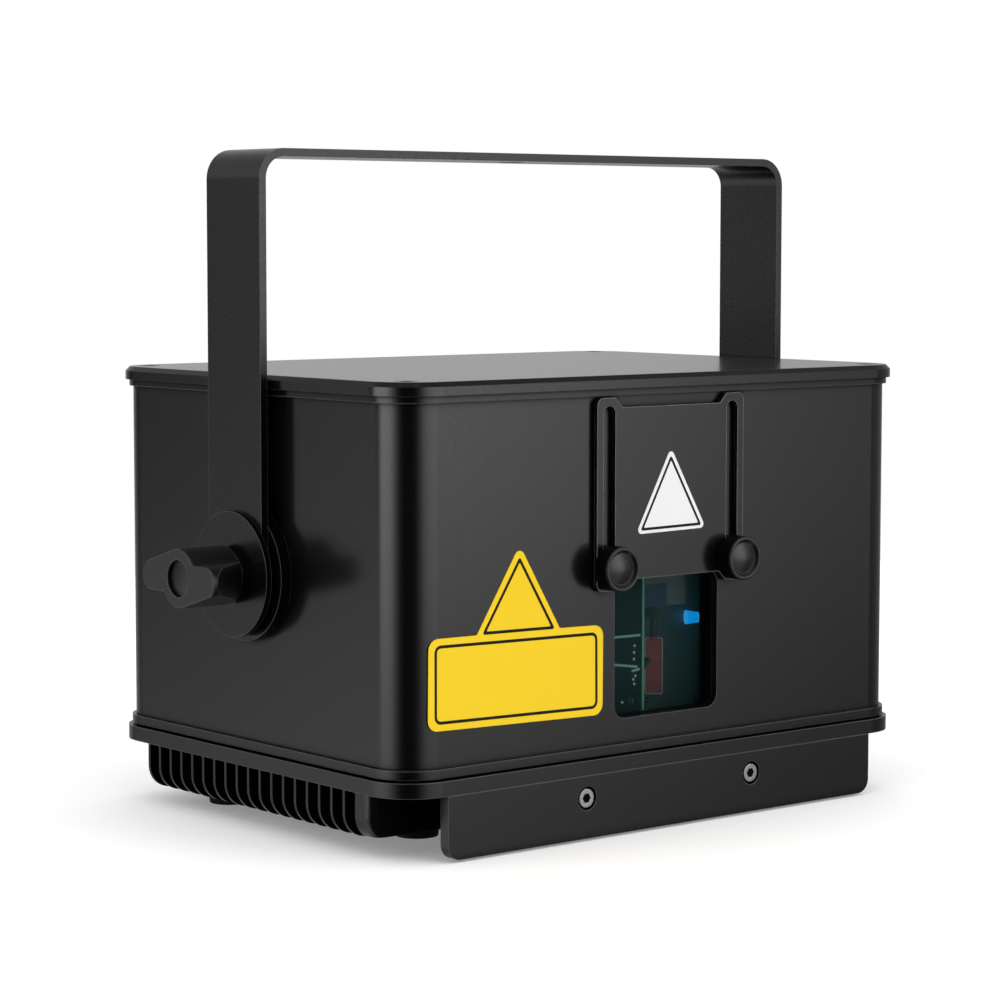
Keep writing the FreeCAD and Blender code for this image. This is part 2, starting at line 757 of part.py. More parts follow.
def make_skirt():
    low = flange_bottom - skirt_drop
    back = skirt_front + skirt_thickness
    blank = new_body("skirt_blank")
    sketch = start_sketch(blank, Y, back)
    draw_outline(sketch, rectangle(-skirt_half, skirt_half, low, flange_bottom))
    pad(blank, sketch, skirt_thickness)
    round_edges(blank, Y, [(side * skirt_half, low) for name, side in SIDES], skirt_corner)
    tools, spacers, screws = [], [], []
    for name, side in SIDES:
        x, z = side * skirt_screw_x, skirt_screw_level
        tools.append(rod("skirt_bore_" + name, (x, skirt_front - margin, z), Y, counterbore_radius,
                         counterbore_depth + margin))
        tools.append(rod("skirt_hole_" + name, (x, skirt_front - margin, z), Y, screw_radius + free_gap,
                         skirt_thickness + 2 * margin))
        reach = sink_front - back
        post = rod("spacer_post_" + name, (x, back, z), Y, spacer_radius, reach)
        bore = rod("spacer_bore_" + name, (x, back - margin, z), Y, screw_radius + fit_gap,
                   reach + 2 * margin)
        spacers.append(cut("spacer_" + name, post, [bore]))
        seat = skirt_front + counterbore_depth
        head = rod("skirt_head_" + name, (x, seat - screw_head_height, z), Y, screw_head_radius,
                   screw_head_height)
        shank = rod("skirt_shank_" + name, (x, seat, z), Y, screw_radius, skirt_screw_reach)
        socket = document.addObject("Part::Prism", "Socket")
        socket.setExpression("Circumradius", socket_radius.text)
        socket.setExpression("Height", (socket_depth + margin).text)
        place(socket, (x, seat - screw_head_height - margin, z), Rotation(Vector(1, 0, 0), -90))
        screws.append(cut("skirt_screw_" + name, fuse("skirt_bolt_" + name, [head, shank]), [socket]))
    keep(cut("front_skirt", blank, tools))
    keep(group("skirt_spacers", spacers))
    keep(group("skirt_screws", screws))


# Window and sliding shutter

def make_window():
    wall_back = front + housing_wall
    glass_front = front + window_depth
    frame_back = glass_front + glass_rebate
    half = aperture_width / 2
    rim = half + window_rim
    blank = upright("window_blank", -rim, rim, aperture_centre - rim, aperture_centre + rim, frame_back,
                    frame_back - wall_back)
    light = upright("window_light", -half, half, aperture_centre - half, aperture_centre + half,
                    frame_back + margin, frame_back - wall_back + 2 * margin, aperture_corner)
    seat = half + glass_lap + glass_gap
    rebate = upright("window_rebate", -seat, seat, aperture_centre - seat, aperture_centre + seat,
                     frame_back + margin, glass_rebate + margin)
    keep(cut("window_frame", blank, [light, rebate]))
    edge = half + glass_lap
    keep(upright("window_glass", -edge, edge, aperture_centre - edge, aperture_centre + edge,
                 glass_front + glass_thickness, glass_thickness))


def make_shutter():
    """A plate with an ear at each corner and a long slot down each side."""
    ear_in = shutter_half - ear_width
    waist = ear_in - ear_slope
    upper, lower = shutter_top - ear_height, shutter_bottom + ear_height
    blank = new_body("shutter_blank")
    sketch = start_sketch(blank, Y, shutter_back)
    draw_outline(sketch, [
        (-shutter_half, shutter_bottom), (-ear_in, shutter_bottom), (-waist, lower), (waist, lower),
        (ear_in, shutter_bottom), (shutter_half, shutter_bottom), (shutter_half, shutter_top),
        (ear_in, shutter_top), (waist, upper), (-waist, upper), (-ear_in, shutter_top),
        (-shutter_half, shutter_top)])
    pad(blank, sketch, shutter_thickness)
    corners = [(side * shutter_half, z) for name, side in SIDES for z in (shutter_bottom, shutter_top)]
    round_edges(blank, Y, corners, ear_corner)
    half_slot = slot_width / 2
    low = shutter_bottom + slot_end + half_slot
    high = shutter_top - slot_end - half_slot
    deep = shutter_thickness + 2 * margin
    tools = []
    for name, side in SIDES:
        x = side * slot_x
        tools.append(block("slot_%s_run" % name, (x - half_slot, shutter_front - margin, low),
                           (slot_width, deep, high - low)))
        for end, z in (("low", low), ("high", high)):
            tools.append(rod("slot_%s_%s" % (name, end), (x, shutter_front - margin, z), Y, half_slot, deep))
    keep(cut("shutter_plate", blank, tools))


def make_thumb_screws():
    base = shutter_front - slide_gap
    rotation = Rotation(Vector(1, 0, 0), 90)
    studs, washers, nuts = [], [], []
    for name, side in SIDES:
        x = side * slot_x
        knob = new_body("thumb_knob_" + name)
        sketch = start_sketch(knob, Y, 0)
        rim = thumb_radius - thumb_edge - thumb_rim
        draw_outline(sketch, [
            (0, 0), (thumb_foot, 0), (thumb_radius, thumb_foot_rise),
            (thumb_radius, thumb_height - thumb_edge), (thumb_radius - thumb_edge, thumb_height),
            (rim, thumb_height), (rim - thumb_dish, thumb_height - thumb_dish), (0, thumb_height)], dome=6)
        turn = knob.newObject("PartDesign::Revolution", "Revolution")
        turn.Profile = sketch
        turn.ReferenceAxis = (sketch, ["V_Axis"])
        turn.Angle = 360
        sketch = start_sketch(knob, Z, -margin)
        draw_circle(sketch, (0, 0), screw_radius + fit_gap)
        document.recompute()
        pocket(knob, sketch, thumb_embed + margin)
        keep(place(knob, (x, base, thumb_level), rotation))
        inside = front + housing_wall
        stud_back = inside + stud_nut_height - fit_gap
        studs.append(rod("thumb_stud_" + name, (x, base - thumb_embed, thumb_level), Y, screw_radius,
                         stud_back - base + thumb_embed))
        clear = screw_radius + free_gap
        ring = rod("washer_ring_" + name, (x, front - washer_thickness, thumb_level), Y, washer_radius,
                   washer_thickness)
        hole = rod("washer_hole_" + name, (x, front - washer_thickness - margin, thumb_level), Y, clear,
                   washer_thickness + 2 * margin)
        washers.append(cut("washer_" + name, ring, [hole]))
        barrel = rod("nut_barrel_" + name, (x, inside, thumb_level), Y, stud_nut_radius, stud_nut_height)
        thread = rod("nut_thread_" + name, (x, inside - margin, thumb_level), Y, screw_radius + fit_gap,
                     stud_nut_height + 2 * margin)
        nuts.append(cut("nut_" + name, barrel, [thread]))
    keep(group("thumb_studs", studs))
    keep(group("slide_washers", washers))
    keep(group("stud_nuts", nuts))


# Yoke, friction discs and wing knobs

def make_yoke():
    """A flat bar bent into a U, with round lower ends and holes for the pivots and the clamp bolt."""
    outer = yoke_inner + yoke_bar
    roof = yoke_roof
    top = roof + yoke_bar
    half = yoke_width / 2
    low = pivot_height - half
    body = new_body("yoke")
    sketch = start_sketch(body, Y, half)
    draw_outline(sketch, [
        (-outer, low), (-yoke_inner, low), (-yoke_inner, roof), (yoke_inner, roof), (yoke_inner, low),
        (outer, low), (outer, top), (-outer, top)])
    pad(body, sketch, yoke_width)
    round_edges(body, Y, [(side * outer, top) for name, side in SIDES], yoke_bend)
    round_edges(body, Y, [(side * yoke_inner, roof) for name, side in SIDES], yoke_bend - yoke_bar)
    round_edges(body, X, [(side * half, low) for name, side in SIDES], half - yoke_end_flat)
    sketch = start_sketch(body, X, -outer - margin)
    draw_circle(sketch, (0, pivot_height), pivot_stud_radius + free_gap)
    pocket(body, sketch, 2 * (outer + margin))
    sketch = start_sketch(body, Z, roof - margin)
    draw_circle(sketch, (0, 0), yoke_bolt_radius)
    pocket(body, sketch, yoke_bar + 2 * margin)
    keep(body)


def make_disc(label, side, radius, near, thickness):
    start = outward(side, near, thickness)
    face = rod(label + "_face", (start, 0, pivot_height), X, radius, thickness)
    hole = rod(label + "_hole", (start - margin, 0, pivot_height), X, pivot_stud_radius + free_gap,
               thickness + 2 * margin)
    return cut(label, face, [hole])


def make_wing_knob(name, side, base):
    """A hub on a collar with two flared lobes, each smooth on one flank and stepped on the other."""
    body = new_body("side_knob_" + name)
    low = knob_collar_height
    tall = knob_height - low
    sketch = start_sketch(body, Z, 0)
    draw_circle(sketch, (0, 0), knob_collar)
    pad(body, sketch, knob_height)
    sketch = start_sketch(body, Z, low)
    draw_circle(sketch, (0, 0), knob_hub)
    pad(body, sketch, tall)
    tip_x = knob_span / 2 - knob_tip
    lean = (knob_hub - knob_tip) / tip_x
    rise = root(1 - lean * lean)
    sketch = start_sketch(body, Z, low)
    draw_outline(sketch, [
        (0, 0), (knob_hub * lean, -knob_hub * rise), (tip_x + knob_tip * lean, -knob_tip * rise),
        (tip_x, knob_tip), (0, knob_tip)])
    lobe = pad(body, sketch, tall)
    sketch = start_sketch(body, Z, low)
    draw_circle(sketch, (tip_x, 0), knob_tip)
    tip = pad(body, sketch, tall)
    pattern(body, "PolarPattern", [lobe, tip], {
        "Axis": (origin_part(body, "Z_Axis"), [""]), "Angle": 360, "Occurrences": 2})
    notch_x = root(knob_hub * knob_hub - knob_tip * knob_tip)
    round_edges(body, Z, [(side_x * notch_x, side_x * knob_tip) for side_x in (-1, 1)], knob_notch)
    finish_edges(body, "Fillet", "Radius", edges_in_plane(body, Z, knob_height), knob_edge)
    reach = knob_span / 2 + margin
    sketch = start_sketch(body, Y, 0)
    draw_outline(sketch, [(knob_hub + knob_lip, low), (reach, low), (reach, knob_height)])
    flare = body.newObject("PartDesign::Groove", "Groove")
    flare.Profile = sketch
    flare.ReferenceAxis = (sketch, ["V_Axis"])
    flare.Angle = 360
    document.recompute()
    sketch = start_sketch(body, Z, knob_height - cap_height - cap_sink)
    draw_circle(sketch, (0, 0), cap_radius + free_gap)
    pocket(body, sketch, cap_height + cap_sink + margin)
    sketch = start_sketch(body, Z, -margin)
    draw_circle(sketch, (0, 0), pivot_stud_radius + fit_gap)
    pocket(body, sketch, pivot_stud_embed + margin)
    facing = Rotation(Vector(0, side, 0), Vector(0, 0, 1), Vector(side, 0, 0))
    keep(place(body, (side * base, 0, pivot_height), facing))
    cap = new_body("knob_cap_" + name)
    sketch = start_sketch(cap, Y, 0)
    draw_outline(sketch, [(0, 0), (cap_radius, 0), (cap_radius, cap_edge), (0, cap_height)], dome=2)
    turn = cap.newObject("PartDesign::Revolution", "Revolution")
    turn.Profile = sketch
    turn.ReferenceAxis = (sketch, ["V_Axis"])
    turn.Angle = 360
    seat = base + knob_height - cap_sink - cap_height
    keep(place(cap, (side * seat, 0, pivot_height), facing))


def make_pivots():
    outer = yoke_inner + yoke_bar
    base = outer + disc_thickness + slide_gap
    inner_discs, outer_discs, studs, bushes = [], [], [], []
    for name, side in SIDES:
        inner_discs.append(make_disc("inner_disc_" + name, side, inner_disc_radius, half_width,
                                     inner_disc_thickness))
        outer_discs.append(make_disc("outer_disc_" + name, side, disc_radius, outer, disc_thickness))
        make_wing_knob(name, side, base)
        inner_end = half_width - bush_length
        length = base + pivot_stud_embed - inner_end
        studs.append(rod("pivot_stud_" + name, (outward(side, inner_end, length), 0, pivot_height), X,
                         pivot_stud_radius, length))
        neck = rod("bush_neck_" + name, (outward(side, inner_end, bush_length), 0, pivot_height), X,
                   bush_radius, bush_length)
        flange_length = bush_length - housing_wall
        flange = rod("bush_flange_" + name, (outward(side, inner_end, flange_length), 0, pivot_height), X,
                     bush_flange_radius, flange_length)
        thread = rod("bush_thread_" + name,
                     (outward(side, inner_end - margin, bush_length + 2 * margin), 0, pivot_height), X,
                     pivot_stud_radius + fit_gap, bush_length + 2 * margin)
        bushes.append(cut("pivot_bush_" + name, fuse("bush_blank_" + name, [neck, flange]), [thread]))
    keep(group("inner_discs", inner_discs))
    keep(group("outer_discs", outer_discs))
    keep(group("pivot_studs", studs))
    keep(group("pivot_bushes", bushes))


# Lasers, beam combiner and scanner

def slanted_mirror(label, middle, axis, angle, spans):
    """A mirror blank turned about one axis through its middle."""
    line = Vector(*[1 if other == axis else 0 for other in (X, Y, Z)])
    turn = Rotation(line, angle)
    cosine, sine = math.cos(math.radians(angle)), math.sin(math.radians(angle))
    corner = [-span / 2 for span in spans]
    first, second = (Y, Z, X, Y)[axis:axis + 2]
    spot = list(middle)
    spot[axis] = middle[axis] + corner[axis]
    spot[first] = middle[first] + corner[first] * cosine - corner[second] * sine
    spot[second] = middle[second] + corner[first] * sine + corner[second] * cosine
    return block(label, spot, spans, turn)


def make_lasers():
    """Three lasers on the optics plate, and mirrors that join their beams and lead them to the scanner."""
    keep(slab("optics_plate", half_width - plate_side_inset, half_depth - plate_end_inset, flange_top,
              plate_thickness, frame_corner))
    beam = plate_top + beam_height
    laser_front_y = combiner_y + mount_radius + laser_gap + barrel_length
    laser_length = half_depth - laser_back_gap - laser_front_y
    mount_height = beam_height - combiner_size / 2
    mounts, mirrors = [], []
    places = []
    for number, colour in enumerate(("red", "green", "blue")):
        x = half_width * (number * laser_pitch_share - laser_first_share)
        case = block("laser_case_" + colour, (x - laser_width / 2, laser_front_y, plate_top),
                     (laser_width, laser_length, laser_height))
        barrel = rod("laser_barrel_" + colour, (x, laser_front_y - barrel_length, beam), Y,
                     barrel_radius, barrel_length + margin)
        keep(fuse("laser_" + colour, [case, barrel]))
        places.append((colour, x))
    places.append(("turn", lying_galvo_x))
    for name, x in places:
        mounts.append(rod("mount_" + name, (x, combiner_y, plate_top), Z, mount_radius, mount_height))
        mirrors.append(slanted_mirror("combiner_" + name, (x, combiner_y, beam), Z, -45,
                                      (combiner_size, combiner_thickness, combiner_size)))
    fold_y = block_front_y - galvo_reach
    fold_drop = (fold_length + combiner_thickness) * math.sqrt(2) / 4
    mounts.append(rod("mount_fold", (lying_galvo_x, fold_y, plate_top), Z, fold_radius,
                      beam_height - fold_drop))
    mirrors.append(slanted_mirror("combiner_fold", (lying_galvo_x, fold_y, beam), X, -45,
                                  (fold_width, fold_length, combiner_thickness)))
    keep(group("mirror_mounts", mounts))
    keep(group("combiner_mirrors", mirrors))


def make_scanner():
    """A bracket that holds an upright galvo on a shelf and a lying galvo in its back plate."""
    axis_y = block_front_y - galvo_reach
    motor_low = plate_top + upright_galvo_lift
    shelf_low = motor_low + upright_overhang
    lying_z = plate_top + lying_galvo_lift
    plate = block("scanner_plate", (block_left, block_front_y, plate_top),
                  (block_width, block_depth, block_height))
    shelf = block("scanner_shelf",
                  (upright_galvo_x - shelf_width / 2, block_front_y - shelf_reach, shelf_low),
                  (shelf_width, shelf_reach + margin, shelf_height))
    bore = galvo_radius + fit_gap
    through = block_depth + 2 * margin
    tools = [rod("shelf_bore", (upright_galvo_x, axis_y, shelf_low - margin), Z, bore,
                 shelf_height + 2 * margin),
             rod("plate_bore", (lying_galvo_x, block_front_y - margin, lying_z), Y, bore, through),
             rod("beam_hole", (lying_galvo_x, block_front_y - margin, plate_top + beam_height), Y,
                 beam_hole_radius, through)]
    keep(cut("scanner_block", fuse("scanner_blank", [plate, shelf]), tools))

    shaft_bore = mirror_shaft_radius + fit_gap
    can = rod("galvo_can_x", (upright_galvo_x, axis_y, motor_low), Z, galvo_radius, galvo_length)
    hole = rod("galvo_hole_x", (upright_galvo_x, axis_y, motor_low - margin), Z, shaft_bore,
               mirror_shaft_depth + 2 * margin)
    keep(cut("galvo_motor_x", can, [hole]))
    mirror_top = motor_low - upright_mirror_gap
    shaft = rod("scan_shaft_x", (upright_galvo_x, axis_y, mirror_top - mirror_lap), Z, mirror_shaft_radius,
                mirror_lap + upright_mirror_gap + mirror_shaft_depth)
    mirror = slanted_mirror("scan_plate_x", (upright_galvo_x, axis_y, mirror_top - upright_mirror_length / 2),
                            Z, -45, (upright_mirror_width, mirror_thickness, upright_mirror_length))
    keep(fuse("scan_mirror_x", [shaft, mirror]))

    motor_front = block_front_y + lying_setback
    can = rod("galvo_can_y", (lying_galvo_x, motor_front, lying_z), Y, galvo_radius, galvo_length)
    hole = rod("galvo_hole_y", (lying_galvo_x, motor_front - margin, lying_z), Y, shaft_bore,
               mirror_shaft_depth + 2 * margin)
    keep(cut("galvo_motor_y", can, [hole]))
    mirror_back = axis_y + lying_mirror_length / 2
    shaft = rod("scan_shaft_y", (lying_galvo_x, mirror_back - mirror_lap, lying_z), Y, mirror_shaft_radius,
                motor_front + mirror_shaft_depth - mirror_back + mirror_lap)
    mirror = slanted_mirror("scan_plate_y", (lying_galvo_x, axis_y, lying_z), Y, -45,
                            (lying_mirror_width, lying_mirror_length, mirror_thickness))
    keep(fuse("scan_mirror_y", [shaft, mirror]))

    keep(rod("galvo_plug", (plug_x, block_front_y - plug_length, plate_top + plug_lift), Y,
             plug_tip_radius, plug_length, plug_radius))


# Boards and power supply

def make_electronics():
    keep(block("scanner_board", (scanner_board_x, block_front_y - scanner_board_length, plate_top),
               (board_thickness, scanner_board_length, scanner_board_height)))
    control_low = plate_top + control_lift
    control_left = -half_width * control_left_share
    control_width = half_width * control_share
    control_front = combiner_y + mount_radius + control_gap
    control_depth = half_depth - control_back_gap - control_front
    keep(block("control_board", (control_left, control_front, control_low),
               (control_width, control_depth, board_thickness)))
    inset = board_post_inset
    xs = (control_left + inset, control_left + control_width - inset)
    ys = (control_front + inset, control_front + control_depth - inset)
    posts = [rod("board_post_%d_%d" % (i, j), (x, y, plate_top), Z, board_post_radius, control_lift)
             for i, x in enumerate(xs) for j, y in enumerate(ys)]
    keep(group("board_posts", posts))
    keep(block("power_supply", (half_width * supply_left_share, supply_front, plate_top),
               (half_width * supply_share, half_depth - supply_back_gap - supply_front, supply_height)))


# Rear panel, sockets, switches and fan

def panel_screw_places():
    inset = panel_screw_inset
    return [(sx * (panel_half - inset), panel_bottom + z)
            for sx in (-1, 1) for z in (inset, panel_height - inset)]


def panel_hole(label, x, z, width, height):
    return block(label, (x - width / 2, half_depth - margin, z - height / 2),
                 (width, panel_thickness + 2 * margin, height))


def make_panel():
    blank = upright("panel_blank", -panel_half, panel_half, panel_bottom, panel_bottom + panel_height,
                    panel_face, panel_thickness, panel_corner)
    deep = panel_thickness + 2 * margin
    tools = []
    middle = panel_bottom + panel_height / 2
    for number in range(int(vent_count.value)):
        z = middle + (number - (vent_count - 1) / 2) * vent_pitch
        tools.append(panel_hole("vent_%d" % number, fan_x, z, vent_width, vent_height))
    gap = 2 * free_gap
    tools.append(panel_hole("inlet_hole", power_x, inlet_level, inlet_width + gap,
                            inlet_height + gap))
    tools.append(panel_hole("rocker_hole", power_x, rocker_level, rocker_width + gap,
                            rocker_height + gap))
    tools.append(panel_hole("data_hole", data_x, data_level, data_shell_width + gap,
                            data_shell_height + gap))
    tools.append(rod("key_hole", (power_x, half_depth - margin, key_level), Y, key_radius + free_gap,
                     deep))
    for number in range(2):
        tools.append(rod("signal_hole_%d" % number,
                         (signal_first_x + number * signal_pitch, half_depth - margin, signal_level), Y,
                         signal_radius + free_gap, deep))
    screws = []
    for number, (x, z) in enumerate(panel_screw_places()):
        tools.append(rod("panel_screw_hole_%d" % number, (x, half_depth - margin, z), Y,
                         panel_screw_radius + fit_gap, deep))
        head = rod("panel_head_%d" % number, (x, panel_face, z), Y, panel_screw_head, panel_screw_radius)
        shank_reach = panel_thickness + housing_wall
        shank = rod("panel_shank_%d" % number, (x, panel_face - shank_reach, z), Y, panel_screw_radius,
                    shank_reach)
        screws.append(fuse("panel_screw_%d" % number, [head, shank]))
    keep(cut("rear_panel", blank, tools))
    keep(group("panel_screws", screws))


def make_sockets():
    """Power inlet, two round signal sockets and the D-shaped data socket."""
    z = inlet_level
    lip = block("inlet_lip_plate", (power_x - inlet_width / 2 - inlet_lip, panel_face,
                                    z - inlet_height / 2 - inlet_lip),
                (inlet_width + 2 * inlet_lip, inlet_face, inlet_height + 2 * inlet_lip))
    shell = block("inlet_shell", (power_x - inlet_width / 2, panel_face - inlet_depth, z - inlet_height / 2),
                  (inlet_width, inlet_depth, inlet_height))
    hollow = block("inlet_hollow", (power_x - inlet_width / 2 + inlet_wall,
                                    panel_face - inlet_depth + inlet_wall,
                                    z - inlet_height / 2 + inlet_wall),
                   (inlet_width - 2 * inlet_wall, inlet_depth + inlet_face + margin,
                    inlet_height - 2 * inlet_wall))
    keep(cut("power_inlet", fuse("inlet_blank", [lip, shell]), [hollow]))

    sockets = []
    for number in range(2):
        x = signal_first_x + number * signal_pitch
        z = signal_level
        plate = block("signal_plate_%d" % number, (x - signal_plate / 2, panel_face, z - signal_plate / 2),
                      (signal_plate, signal_plate_thickness, signal_plate))
        barrel = rod("signal_barrel_%d" % number, (x, panel_face - signal_depth, z), Y, signal_radius,
                     signal_depth + signal_plate_thickness)
        recess = rod("signal_recess_%d" % number,
                     (x, panel_face + signal_plate_thickness - signal_recess_depth, z), Y,
                     signal_recess_radius, signal_recess_depth + margin)
        sockets.append(cut("signal_%d" % number, fuse("signal_blank_%d" % number, [plate, barrel]), [recess]))
    keep(group("signal_sockets", sockets))

    z = data_level
    plate = block("data_plate", (data_x - data_plate_width / 2, panel_face, z - data_plate_height / 2),
                  (data_plate_width, data_plate_thickness, data_plate_height))
    body = block("data_body", (data_x - data_shell_width / 2, panel_face - data_depth,
                               z - data_shell_height / 2),
                 (data_shell_width, data_depth, data_shell_height))
    shell = new_body("data_shell")
    sketch = start_sketch(shell, Y, panel_face + data_shell_reach)
    half, rise = data_shell_width / 2, data_shell_height / 2
    draw_outline(sketch, [(data_x - half + data_shell_slope, z - rise),
                          (data_x + half - data_shell_slope, z - rise),
                          (data_x + half, z + rise), (data_x - half, z + rise)])
    pad(shell, sketch, data_shell_reach)
    keep(fuse("data_socket", [plate, body, shell]))


def make_switches():
    """A rocker in its frame, and a key switch with a turning plug."""
    z = rocker_level
    lip = rocker_wall
    plate = block("rocker_plate", (power_x - rocker_width / 2 - lip, panel_face, z - rocker_height / 2 - lip),
                  (rocker_width + 2 * lip, rocker_wall, rocker_height + 2 * lip))
    shell = block("rocker_shell", (power_x - rocker_width / 2, panel_face - rocker_depth,
                                   z - rocker_height / 2),
                  (rocker_width, rocker_depth, rocker_height))
    well = block("rocker_well", (power_x - rocker_width / 2 + rocker_wall,
                                 panel_face - rocker_depth + rocker_wall,
                                 z - rocker_height / 2 + rocker_wall),
                 (rocker_width - 2 * rocker_wall, rocker_depth + margin,
                  rocker_height - 2 * rocker_wall))
    keep(cut("rocker_frame", fuse("rocker_blank", [plate, shell]), [well]))
    paddle = new_body("power_rocker")
    reach = rocker_height / 2 - rocker_wall - rocker_gap
    breadth = rocker_width - 2 * rocker_wall - 2 * slide_gap
    sketch = start_sketch(paddle, X, -breadth / 2)
    draw_outline(sketch, rectangle(rocker_lift_out - rocker_thickness, rocker_lift_out, -reach, reach))
    pad(paddle, sketch, breadth)
    place(paddle, (power_x, panel_face + rocker_wall, z), Rotation(Vector(1, 0, 0), rocker_swing.value))
    keep(paddle)

    z = key_level
    barrel = rod("key_barrel", (power_x, panel_face - key_depth, z), Y, key_radius, key_depth)
    bezel = rod("key_bezel", (power_x, panel_face, z), Y, key_bezel_radius, key_bezel_height)
    floor = panel_face - key_depth + key_floor
    bore = rod("key_bore", (power_x, floor, z), Y, key_rotor_radius + fit_gap,
               panel_face + key_bezel_height - floor + margin)
    keep(cut("key_switch", fuse("key_blank", [barrel, bezel]), [bore]))
    rotor_end = panel_face + key_bezel_height + key_rotor_stand
    plug = rod("key_plug", (power_x, floor, z), Y, key_rotor_radius, rotor_end - floor)
    slot = block("key_slot", (power_x - key_slot_width / 2, rotor_end - key_slot_depth,
                              z - key_slot_length / 2),
                 (key_slot_width, key_slot_depth + margin, key_slot_length))
    keep(cut("key_rotor", plug, [slot]))


def make_fan():
    z = panel_bottom + panel_height / 2
    back = half_depth - fan_depth
    half = fan_side / 2
    case = block("fan_case", (fan_x - half, back, z - half), (fan_side, fan_depth, fan_side))
    bore = rod("fan_bore", (fan_x, back - margin, z), Y, fan_bore_radius, fan_depth + 2 * margin)
    boss = rod("fan_boss", (fan_x, back, z), Y, fan_boss_radius, fan_boss_height)
    struts = [block("fan_strut_0", (fan_x - half, back, z - fan_strut_width / 2),
                    (fan_side, fan_boss_height, fan_strut_width)),
              block("fan_strut_1", (fan_x - fan_strut_width / 2, back, z - half),
                    (fan_strut_width, fan_boss_height, fan_side))]
    carrier = fuse("fan_carrier", [cut("fan_ring", case, [bore]), boss] + struts)
    pin = rod("fan_pin_hole", (fan_x, back - margin, z), Y, fan_shaft_radius + fit_gap,
              fan_boss_height + 2 * margin)
    keep(cut("fan_frame", carrier, [pin]))
    make_fan_rotor(back, z)


def make_fan_rotor(back, z):
    """A hub on a short shaft with slanted blades around it."""
    rotor = new_body("fan_rotor")
    hub_low = fan_boss_height + free_gap
    sketch = start_sketch(rotor, Z, 0)
    draw_circle(sketch, (0, 0), fan_shaft_radius)
    pad(rotor, sketch, hub_low + fan_hub_height)
    sketch = start_sketch(rotor, Z, hub_low)
    draw_circle(sketch, (0, 0), fan_hub_radius)
    pad(rotor, sketch, fan_hub_height)
    low = hub_low + (fan_hub_height - fan_blade_rise) / 2
    high = low + fan_blade_rise
    half_run, half_thick = fan_blade_run / 2, fan_blade_thickness / 2
    inner = fan_hub_radius - fan_blade_root
    sketch = start_sketch(rotor, X, inner)
    draw_outline(sketch, [(-half_run - half_thick, low), (-half_run + half_thick, low),
                          (half_run + half_thick, high), (half_run - half_thick, high)])
    blade = pad(rotor, sketch, fan_bore_radius - fan_tip_gap - inner)
    pattern(rotor, "PolarPattern", [blade], {
        "Axis": (origin_part(rotor, "Z_Axis"), [""]), "Angle": 360, "Occurrences": fan_blade_count})
    keep(place(rotor, (fan_x, back, z), Rotation(Vector(1, 0, 0), -90)))


def make_safety_lug():
    """A steel tab on the rear wall with a hole for a safety cable."""
    z = housing_top - panel_margin / 2
    lug_base_height = panel_margin - 2 * lug_gap
    lug_end_radius = lug_base_height / 2
    eye_y = half_depth + lug_end_radius
    base = block("lug_base", (-lug_base_width / 2, half_depth, z - lug_base_height / 2),
                 (lug_base_width, lug_base_thickness, lug_base_height))
    tab = block("lug_tab", (-lug_thickness / 2, half_depth, z - lug_end_radius),
                (lug_thickness, lug_end_radius, 2 * lug_end_radius))
    end = rod("lug_end", (-lug_thickness / 2, eye_y, z), X, lug_end_radius, lug_thickness)
    hole = rod("lug_hole", (-lug_thickness / 2 - margin, eye_y, z), X, lug_hole_radius,
               lug_thickness + 2 * margin)
    keep(cut("safety_lug", fuse("lug_blank", [base, tab, end]), [hole]))


def write_parts():
    document.recompute()
    failed = [piece.Label for piece in document.Objects
              if "Invalid" in piece.State or "Error" in piece.State]
    failed += [label for label, piece in nodes.items() if piece.Shape.isNull() or not piece.Shape.isValid()]
    if failed:
        raise RuntimeError("Failed: " + ", ".join(failed))
    os.makedirs("parts", exist_ok=True)
    for label, piece in nodes.items():
        piece.Shape.exportStep("parts/%s.step" % label)


document.recompute()
make_housing()
make_frames()
make_cover()
make_base()
make_heat_sink()
make_feet()
make_skirt()
make_window()
make_shutter()
make_thumb_screws()
make_yoke()
make_pivots()
make_lasers()
make_scanner()
make_electronics()
make_panel()
make_sockets()
make_switches()
make_fan()
make_safety_lug()
write_parts()
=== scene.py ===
import math
import bmesh
import bpy
from mathutils import Matrix, Vector


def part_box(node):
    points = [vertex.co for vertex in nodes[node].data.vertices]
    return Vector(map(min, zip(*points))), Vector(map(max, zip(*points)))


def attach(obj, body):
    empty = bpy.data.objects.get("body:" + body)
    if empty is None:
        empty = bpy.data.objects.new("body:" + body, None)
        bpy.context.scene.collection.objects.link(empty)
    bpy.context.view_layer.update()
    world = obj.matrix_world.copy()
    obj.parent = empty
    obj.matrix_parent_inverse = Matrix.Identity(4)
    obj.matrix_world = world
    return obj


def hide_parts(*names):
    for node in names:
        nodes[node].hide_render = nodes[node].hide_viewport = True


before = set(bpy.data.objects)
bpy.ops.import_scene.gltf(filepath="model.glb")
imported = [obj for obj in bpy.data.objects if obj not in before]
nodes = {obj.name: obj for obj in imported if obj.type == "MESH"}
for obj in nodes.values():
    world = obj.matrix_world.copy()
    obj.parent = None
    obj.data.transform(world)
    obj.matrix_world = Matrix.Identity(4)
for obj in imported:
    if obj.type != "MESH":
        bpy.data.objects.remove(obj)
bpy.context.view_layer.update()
MM = 0.001


# Shader nodes

